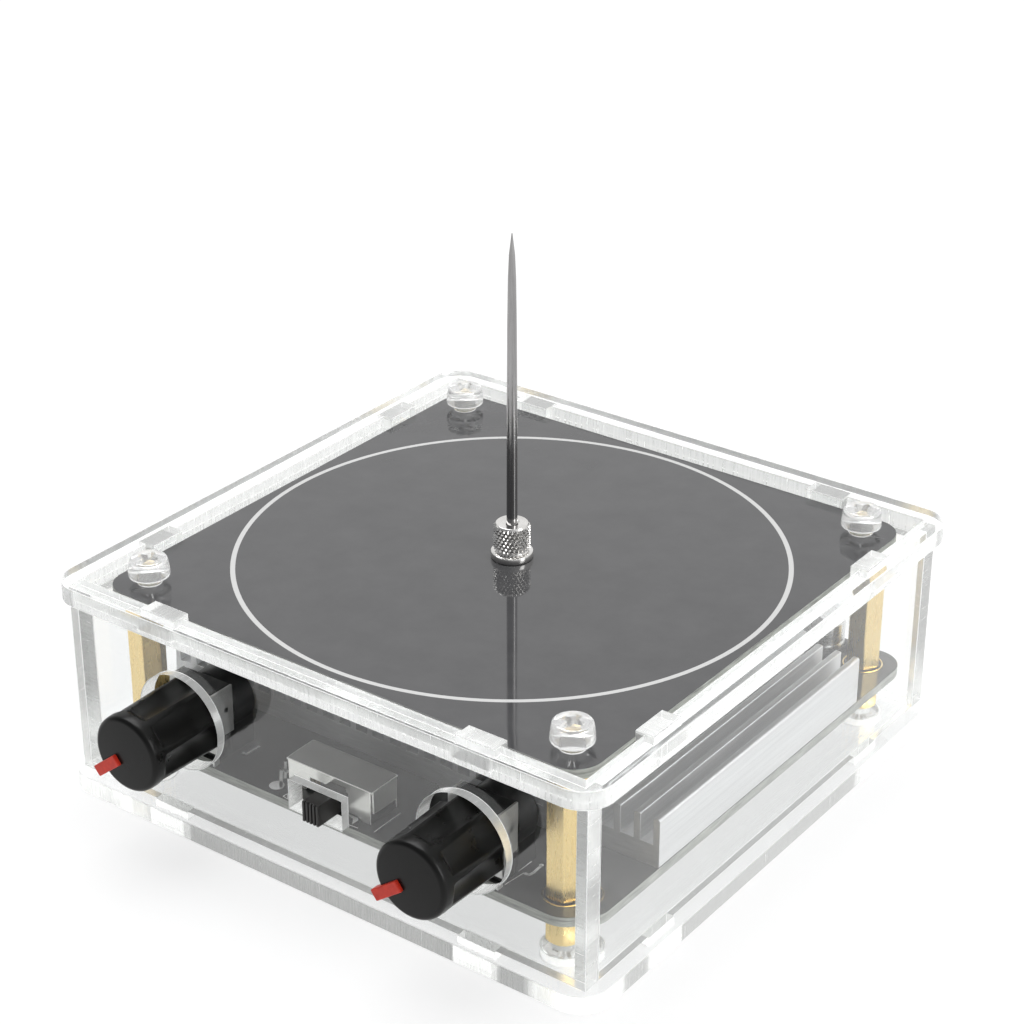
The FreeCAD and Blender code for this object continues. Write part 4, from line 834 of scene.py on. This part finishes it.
# Controls: a rotary potentiometer stands on the board behind each round hole of the front wall. A folded
# tin-plated cover with two feet closes the front of a black moulded body.
tinplate = drifting("cover_tinplate", (0.7, 0.7, 0.69), 0.36, 0.65, ((0.64, 0.64, 0.63), (0.76, 0.76, 0.75)),
                    (0.30, 0.42), 0.002, (0.0006, 0.000004))
phenolic = drifting("control_phenolic", (0.018, 0.018, 0.018), 0.42, 0.0,
                    ((0.013, 0.013, 0.013), (0.026, 0.026, 0.026)), (0.34, 0.5), 0.002, (0.0002, 0.000012))
controls = (("left", -control_middle), ("right", control_middle))
cover_half, cover_sheet, flap_low = 4.9, 0.4, 15.9
lug_low, lug_high = (-41.5, 19.6), (-40.6, 20.6)
for side, middle in controls:
    cover_low, cover_high = room(side + "_control_cover")
    body_high = room(side + "_control_body")[1]
    face_front, face_back = cover_low.y, cover_low.y + cover_sheet
    top = cover_high.z
    face_outline = [(middle - cover_half, deck + 1.0), (middle + cover_half, deck + 1.0)]
    for x, start in ((middle + cover_half - 0.4, 0), (middle - cover_half + 0.4, 90)):
        face_outline += arc(x, top - 0.4, 0.4, start, start + 90, 4)
    shaft_hole = hole(middle, axis_height, 3.08, 48)
    cover = cut_sheet([face_outline, shaft_hole], -face_back, -face_front, facing_front, 0.06, 1)
    for way in (-1, 1):
        outer = middle + way * cover_half
        inner = outer - way * cover_sheet
        block(cover, (outer, face_front + 0.1, flap_low), (inner, cover_high.y, top), 0.08)
        block(cover, (outer, face_front, deck), (inner, face_front + 1.2, flap_low + 0.3), 0.08)
        block(cover, (outer, *lug_low), (inner, *lug_high), 0.05, 1)
    piece(side + "_control_cover_folded", cover, [tinplate, tinplate], side + "_control_cover")
    core = bmesh.new()
    inner_half = cover_half - cover_sheet
    left, right = middle - inner_half, middle + inner_half
    block(core, (left, face_back, deck), (right, cover_high.y, body_high.z), 0.25)
    block(core, (left, -39.7, deck), (right, body_high.y, 18.6), 0.25)
    drum = turned([(0, 39.4), (4.2, 39.4), (5.0, 39.3), (5.1, 39.1), (5.1, 35.2), (4.95, 34.85),
                   (4.7, -body_high.y), (2.2, -body_high.y), (2.1, 34.9), (0, 34.9)], 56)
    set_at(core, drum, [Matrix.Translation((middle, 0, axis_height)) @ facing_front])
    piece(side + "_control_body_moulded", core, [phenolic], side + "_control_body")

# Shafts: moulded nylon rods that turn in the cover's round hole and hold the knobs by friction. Both ends
# have a small chamfer.
nylon = drifting("shaft_plastic", (0.62, 0.6, 0.55), 0.45, 0.0, ((0.56, 0.54, 0.49), (0.68, 0.66, 0.61)),
                 (0.38, 0.52), 0.002)
for side, middle in controls:
    low, high = room(side + "_shaft")
    shaft = turned([(0, -high.y), (2.8, -high.y), (3.0, 0.2 - high.y), (3.0, -low.y - 0.2), (2.8, -low.y),
                    (0, -low.y)], 48)
    shaft = moved(shaft, Matrix.Translation((middle, 0, axis_height)) @ facing_front)
    piece(side + "_shaft_moulded", shaft, [nylon], side + "_shaft", side + "_dial")

# Knobs: black moulded caps with a smooth front; eight wide grip flutes start a little behind it and run out
# at the rear. A red pointer is pressed into a notch in the face; no notch is cut, and a thin dark block at
# the pointer's inner end stands for its shade, painted shade.
knob_black = drifting("knob_plastic", (0.003, 0.003, 0.0028), 0.26, 0.0,
                      ((0.0025, 0.0025, 0.0023), (0.0040, 0.0040, 0.0037)), (0.27, 0.30), 0.003,
                      (0.0005, 0.000002), Specular_IOR_Level=0.2)
red = drifting("pointer_red", (0.55, 0.03, 0.01), 0.35, 0.0, ((0.46, 0.022, 0.010), (0.60, 0.038, 0.018)),
               (0.28, 0.42), 0.001, (0.0002, 0.000006), Specular_IOR_Level=0.25)
knob_length, face_radius, rear_radius, face_edge = 13.9, 6.1, 6.5, 0.8
flute_radius, flute_depth, flute_start, shoulder = 4.6, 0.6, 1.9, 0.9
flute_axis = face_radius - flute_depth + flute_radius
knob_rear = room("left_knob")[1].y
eighth, grip_inner, softness = math.tau / 8, 5.6, 0.05
pointer_half, pointer_start, pointer_end, notch_shade_half = 0.9, 1.9, 7.4, 1.0
profile = [(0, 0.2), (5.3, 0.2), (5.5, 0.0), (rear_radius - 0.12, 0.0)]
for depth in (13.78, 12, 10, 8, 6, 4.5, 3.6, 3.2, 3.0, 2.85, 2.7, 2.55, 2.4, 2.3, 2.2, 2.1, 2.0, 1.9, 1.4,
              1.0):
    profile.append((face_radius + (rear_radius - face_radius) * depth / knob_length, knob_length - depth))
profile += arc(face_radius - face_edge, knob_length - face_edge, face_edge, 0, 90, 8)
profile.append((0, knob_length))
for side, middle, clock in (("left", -control_middle, 231), ("right", control_middle, 233)):
    turn = Matrix.Translation((middle, knob_rear, axis_height)) @ Matrix.Rotation(math.radians(clock), 4, "Y")
    knob = turned(profile, 320)
    for vert in knob.verts:
        depth, radius = knob_length - vert.co.z, vert.co.xy.length
        if radius > grip_inner and depth > flute_start:
            off = math.atan2(vert.co.y, vert.co.x) % eighth
            off = min(off, eighth - off)
            across = min(flute_axis * math.sin(off), flute_radius)
            floor = flute_axis * math.cos(off) - math.sqrt(flute_radius ** 2 - across ** 2)
            over = radius - floor
            run = min(1, (depth - flute_start) / shoulder)
            draw_in(vert, radius - (over + math.hypot(over, softness)) / 2 * run * run * (3 - 2 * run))
    piece(side + "_knob_moulded", moved(knob, turn @ facing_front), [knob_black], side + "_knob",
          side + "_dial", 24)
    pointer = bmesh.new()
    block(pointer, (-pointer_half, -14.5, pointer_start), (pointer_half, -13.0, pointer_end), 0.2, 3)
    piece(side + "_pointer_moulded", moved(pointer, turn), [red], side + "_pointer",
          side + "_dial")
    # Painted shade: a thin dark block just under the face at the pointer's inner end stands for the shade in
    # the notch's hollow.
    notch = bmesh.new()
    block(notch, (-notch_shade_half, -13.89, 1.4), (notch_shade_half, -13.7, 2.1), 0.05, 1)
    piece(side + "_pointer_notch_shade", moved(notch, turn), [epoxy], None, side + "_dial")

# Mode switch: a can folded from bright tin-plated steel over an insulating base. Its four sides are bent
# down separately, so a fine gap shows at each corner, and the end flaps stop short of the board.
switch_tin = drifting("switch_tinplate", (0.80, 0.80, 0.77), 0.2, 0.72,
                      ((0.78, 0.78, 0.74), (0.90, 0.90, 0.87)), (0.16, 0.26), 0.003, (0.0006, 0.000003))
# Painted highlight: the can's broken edges take a whiter, less metallic copy of the tin, so they show as
# bright lines.
painted_edge_highlight = material("switch_tin_painted_edge_highlight", (0.97, 0.97, 0.95), 0.3, 0.25)
can_low, can_high = room("mode_switch_can")
can_sheet, corner_gap = 0.3, 0.35
front_outline = rectangle((can_low.x + can_high.x) / 2, (deck + can_high.z) / 2,
                          (can_high.x - can_low.x) / 2 - corner_gap, (can_high.z - deck) / 2 - 0.01)
front_outline[1:1] = [(can_low.x + 2.2, deck + 0.01), (can_low.x + 2.6, deck + 0.6),
                      (can_high.x - 2.6, deck + 0.6), (can_high.x - 2.2, deck + 0.01)]
opening = rectangle(switch_middle, 13.9, 3.6, 1.5)
can = cut_sheet([front_outline, opening], -can_low.y - can_sheet, -can_low.y, facing_front, 0.07, 1, 2)
block(can, (can_low.x, can_low.y, can_high.z - can_sheet), can_high, 0.16, 3, 0, 2)
block(can, (can_low.x + corner_gap, can_high.y - can_sheet, deck),
      (can_high.x - corner_gap, can_high.y, can_high.z), 0.1, 2, 0, 2)
for outer, inner in ((can_low.x, can_low.x + can_sheet), (can_high.x, can_high.x - can_sheet)):
    block(can, (outer, can_low.y + corner_gap, deck + 1.8), (inner, can_high.y - corner_gap, can_high.z),
          0.1, 2, 0, 2)
piece("mode_switch_can_folded", can, [switch_tin, switch_tin, painted_edge_highlight], "mode_switch_can")
base = bmesh.new()
block(base, *room("mode_switch_base"), 0.08, 1)
piece("mode_switch_base_moulded", base, [phenolic], "mode_switch_base")
contacts = bmesh.new()
base_top, contact_height = room("mode_switch_base")[1].z, 0.1
for middle in (-5.2, switch_middle, 3.6):
    block(contacts, (middle - 2.0, -41.5, base_top), (middle + 2.0, -38.0, base_top + contact_height), 0.03,
          1)
piece("mode_switch_contacts", contacts, [gold], None)

# Slider: a black moulded carriage inside the can, with a finger piece that has upright grip ribs in front.
# It slides sideways and stands at the right end of its travel here.
slider_black = drifting("slider_plastic", (0.022, 0.022, 0.022), 0.42, 0.0,
                        ((0.007, 0.0065, 0.006), (0.014, 0.012, 0.011)), (0.36, 0.5), 0.002,
                        (0.0002, 0.00001))
slider_low, slider_high = room("mode_switch_slider")
finger_left, finger_right, finger_front = -0.55, 2.45, slider_low.y
finger_foot, finger_top, rib_inset = 12.75, 16.25, 0.03
slider = bmesh.new()
block(slider, (slider_low.x, can_low.y + 0.5, slider_low.z), slider_high, 0.1, 1)
block(slider, (finger_left, finger_front + 0.25, finger_foot), (finger_right, -39.0, finger_top), 0.12)
rib_count, rib_width = 5, 0.44
rib_pitch = (finger_right - finger_left - rib_width) / (rib_count - 1)
for rib in range(rib_count):
    left = finger_left + rib * rib_pitch
    block(slider, (left, finger_front, finger_foot + rib_inset),
          (left + rib_width, finger_front + 0.6, finger_top - rib_inset), 0.1)
piece("mode_switch_slider_moulded", slider, [slider_black], "mode_switch_slider",
      "mode_slider")

# Power inlet: a black moulded barrel socket, blind at its rear, with a nickel-plated centre pin. It stands
# on the board behind the rear wall's large hole.
socket_black = drifting("socket_plastic", (0.02, 0.02, 0.021), 0.36, 0.0,
                        ((0.015, 0.015, 0.016), (0.028, 0.028, 0.029)), (0.3, 0.45), 0.002,
                        (0.0002, 0.00001))
inlet_low, inlet_high = room("power_inlet_body")
pin_low, pin_high = room("power_inlet_pin")
stand = Matrix.Translation((-inlet_x, 0, inlet_z)) @ facing_rear
inlet_half, foot_drop = 4.5, inlet_z - inlet_low.z
barrel = [(-inlet_half, -foot_drop), (inlet_half, -foot_drop)] + arc(0, 0, inlet_half, 0, 180, 24)
inlet = cut_sheet([barrel, hole(0, 0, 3.1, 48)], pin_low.y, inlet_high.y, stand, 0.2)
set_at(inlet, cut_sheet([barrel], inlet_low.y, pin_low.y + 0.02, stand, 0.2))
piece("power_inlet_body_moulded", inlet, [socket_black, socket_black], "power_inlet_body")
pin = turned([(0, pin_low.y), (1.0, pin_low.y), (1.0, pin_high.y - 0.6), (0.85, pin_high.y - 0.25),
              (0.5, pin_high.y), (0, pin_high.y)], 32)
piece("power_inlet_pin_turned", moved(pin, stand), [nickel], "power_inlet_pin")

# Audio socket: a small moulded jack; its round nose stands in the rear wall's small hole. The bore takes a
# 3.5 mm plug and is closed at its inner end.
jack_low, jack_high = room("audio_socket")
jack_mouth = jack_high.y - 2.6
stand = Matrix.Translation((-jack_x, 0, jack_z)) @ facing_rear
shell = rectangle(0, (jack_low.z + jack_high.z) / 2 - jack_z, (jack_high.x - jack_low.x) / 2,
                  (jack_high.z - jack_low.z) / 2)
jack = cut_sheet([shell, hole(0, 0, 1.8, 48)], jack_low.y + 1.0, jack_mouth, stand, 0.15)
set_at(jack, cut_sheet([shell], jack_low.y, jack_low.y + 1.02, stand, 0.15))
nose = turned([(2.5, jack_mouth - 0.1), (2.5, jack_high.y - 0.15), (2.35, jack_high.y), (1.95, jack_high.y),
               (1.8, jack_high.y - 0.2), (1.8, jack_mouth - 0.1)], 48, closed=True)
set_at(jack, nose, [stand])
piece("audio_socket_moulded", jack, [socket_black, socket_black], "audio_socket")

# Bulk capacitors: aluminium cans crimped over a rubber bung, on square moulded feet. They stand side by side
# behind the heat sink.
can_aluminium = lined("capacitor_aluminium", (0.72, 0.72, 0.72), 0.25, 1.0, (0.8, 0.8, 1.6),
                      ((0.66, 0.66, 0.66), (0.78, 0.78, 0.78)), (0.2, 0.34), 0.000003)
cap_low, cap_high = room("bulk_capacitors")
cap_radius = (cap_high.y - cap_low.y) / 2
foot_top = 1.3
can = turned([(0, 1.25), (2.75, foot_top), (3.1, 1.45), (cap_radius, 1.7), (cap_radius, 2.0), (2.95, 2.25),
              (2.95, 2.45), (cap_radius, 2.7), (cap_radius, 5.3), (3.05, 5.6), (2.8, 5.78), (2.4, 5.8),
              (0, 5.8)], 48)
foot = bmesh.new()
block(foot, (-cap_radius, -cap_radius, 0), (cap_radius, cap_radius, foot_top), 0.25, 2, 1)
capacitor = bmesh.new()
set_at(capacitor, can)
set_at(capacitor, foot)
capacitors = bmesh.new()
set_at(capacitors, capacitor, at([(x, (cap_low.y + cap_high.y) / 2)
                                  for x in (cap_low.x + cap_radius, cap_high.x - cap_radius)], deck))
piece("bulk_capacitor_cans", capacitors, [can_aluminium, phenolic], "bulk_capacitors")

# Wireless audio module: a small dark board under a drawn shield, with an antenna track at its free end. It
# lies flat on the driver board behind the heat sink.
module_low, module_high = room("wireless_module_board")
module_half = (module_high.x - module_low.x) / 2
laminate = rectangle(module_low.x + module_half, module_low.y + module_half, module_half, module_half)
module = cut_sheet([laminate], module_low.z, module_high.z, rim=0.06, segments=1)
piece("wireless_module_laminate", module, [mask_plain, fibre], "wireless_module_board")
shield = bmesh.new()
block(shield, *room("wireless_module_shield"), 0.35, 3)
piece("wireless_module_shield_drawn", shield, [tinplate], "wireless_module_shield")
antenna = bmesh.new()
antenna_front, antenna_rear = 41.0, 42.9
track, antenna_start, antenna_pitch = 0.4, module_low.x + 1.3, 2.2
track_low, track_high = module_high.z - 0.02, module_high.z + 0.02
for turn in range(5):
    x = antenna_start + turn * antenna_pitch
    block(antenna, (x, antenna_front, track_low), (x + track, antenna_rear, track_high), 0)
    if turn < 4:
        y = antenna_front if turn % 2 else antenna_rear - track
        block(antenna, (x, y, track_low), (x + antenna_pitch + track, y + track, track_high), 0)
piece("wireless_module_antenna", antenna, [gold], None)

# Printed marks on the driver board: white ink, a note and a flash beside the switch and outlines of parts.
# They are a thin layer on the solder mask.
silk = drifting("silk_print", (0.9, 0.9, 0.89), 0.5, 0.0, ((0.86, 0.86, 0.85), (0.96, 0.96, 0.95)),
                (0.42, 0.6), 0.0006)
marks = bmesh.new()
ink = 0.02


def stroke(start, end, width):
    """Print a straight stroke between two points of the board."""
    run = Vector(end) - Vector(start)
    middle = (Vector(start) + Vector(end)) / 2
    place = Matrix.Translation((*middle, deck + ink / 2)) @ Matrix.Rotation(math.atan2(run.y, run.x), 4, "Z")
    shape = Matrix.Diagonal((run.length + width / 2, width, ink, 1))
    bmesh.ops.create_cube(marks, size=1, matrix=place @ shape)


set_at(marks, cut_sheet([hole(-10.9, -42.35, 1.15, 28)], deck, deck + ink, rim=0))
flash = [(1.01, -41.9), (2.45, -41.7), (2.3, -40.9), (3.67, -41.2), (4.71, -42.3), (4.61, -43.55),
         (3.8, -42.4)]
set_at(marks, cut_sheet([flash], deck, deck + ink, rim=0))
for start, end, width in (
    ((-10.1, -42.3), (-13.3, -38.6), 0.5), ((-13.3, -38.6), (-11.6, -38.5), 0.6),
    ((-11.2, -40.1), (-14.1, -36.8), 0.4),
    ((-8.23, -43.97), (-8.14, -43.07), 0.12), ((-8.14, -43.07), (-7.17, -44.17), 0.12),
    ((-7.17, -44.17), (-8.23, -43.97), 0.12), ((8.45, -43.2), (8.4, -37.2), 0.16),
    ((2.5, -44.1), (5.9, -43.85), 0.14),
    ((32.0, -38.62), (32.63, -38.5), 0.5), ((32.63, -38.5), (32.75, -37.7), 0.5),
    ((32.75, -37.7), (32.65, -35.8), 0.44),
    ((31.3, -42.4), (31.75, -38.6), 0.14), ((30.82, -38.69), (30.92, -35.74), 0.2),
    ((30.36, -37.8), (30.38, -35.3), 0.14),
    ((-20.9, -38.62), (-20.3, -38.5), 0.44), ((-20.3, -38.5), (-20.2, -35.8), 0.4),
):
    stroke(start, end, width)
for x, y, radius in ((32.6, -35.7, 0.34), (25.8, -29.05, 0.28), (27.4, -31.0, 0.28), (26.7, -32.05, 0.28)):
    set_at(marks, cut_sheet([hole(x, y, radius, 16)], deck, deck + ink, rim=0))
piece("driver_board_marks", marks, [silk, silk], None)
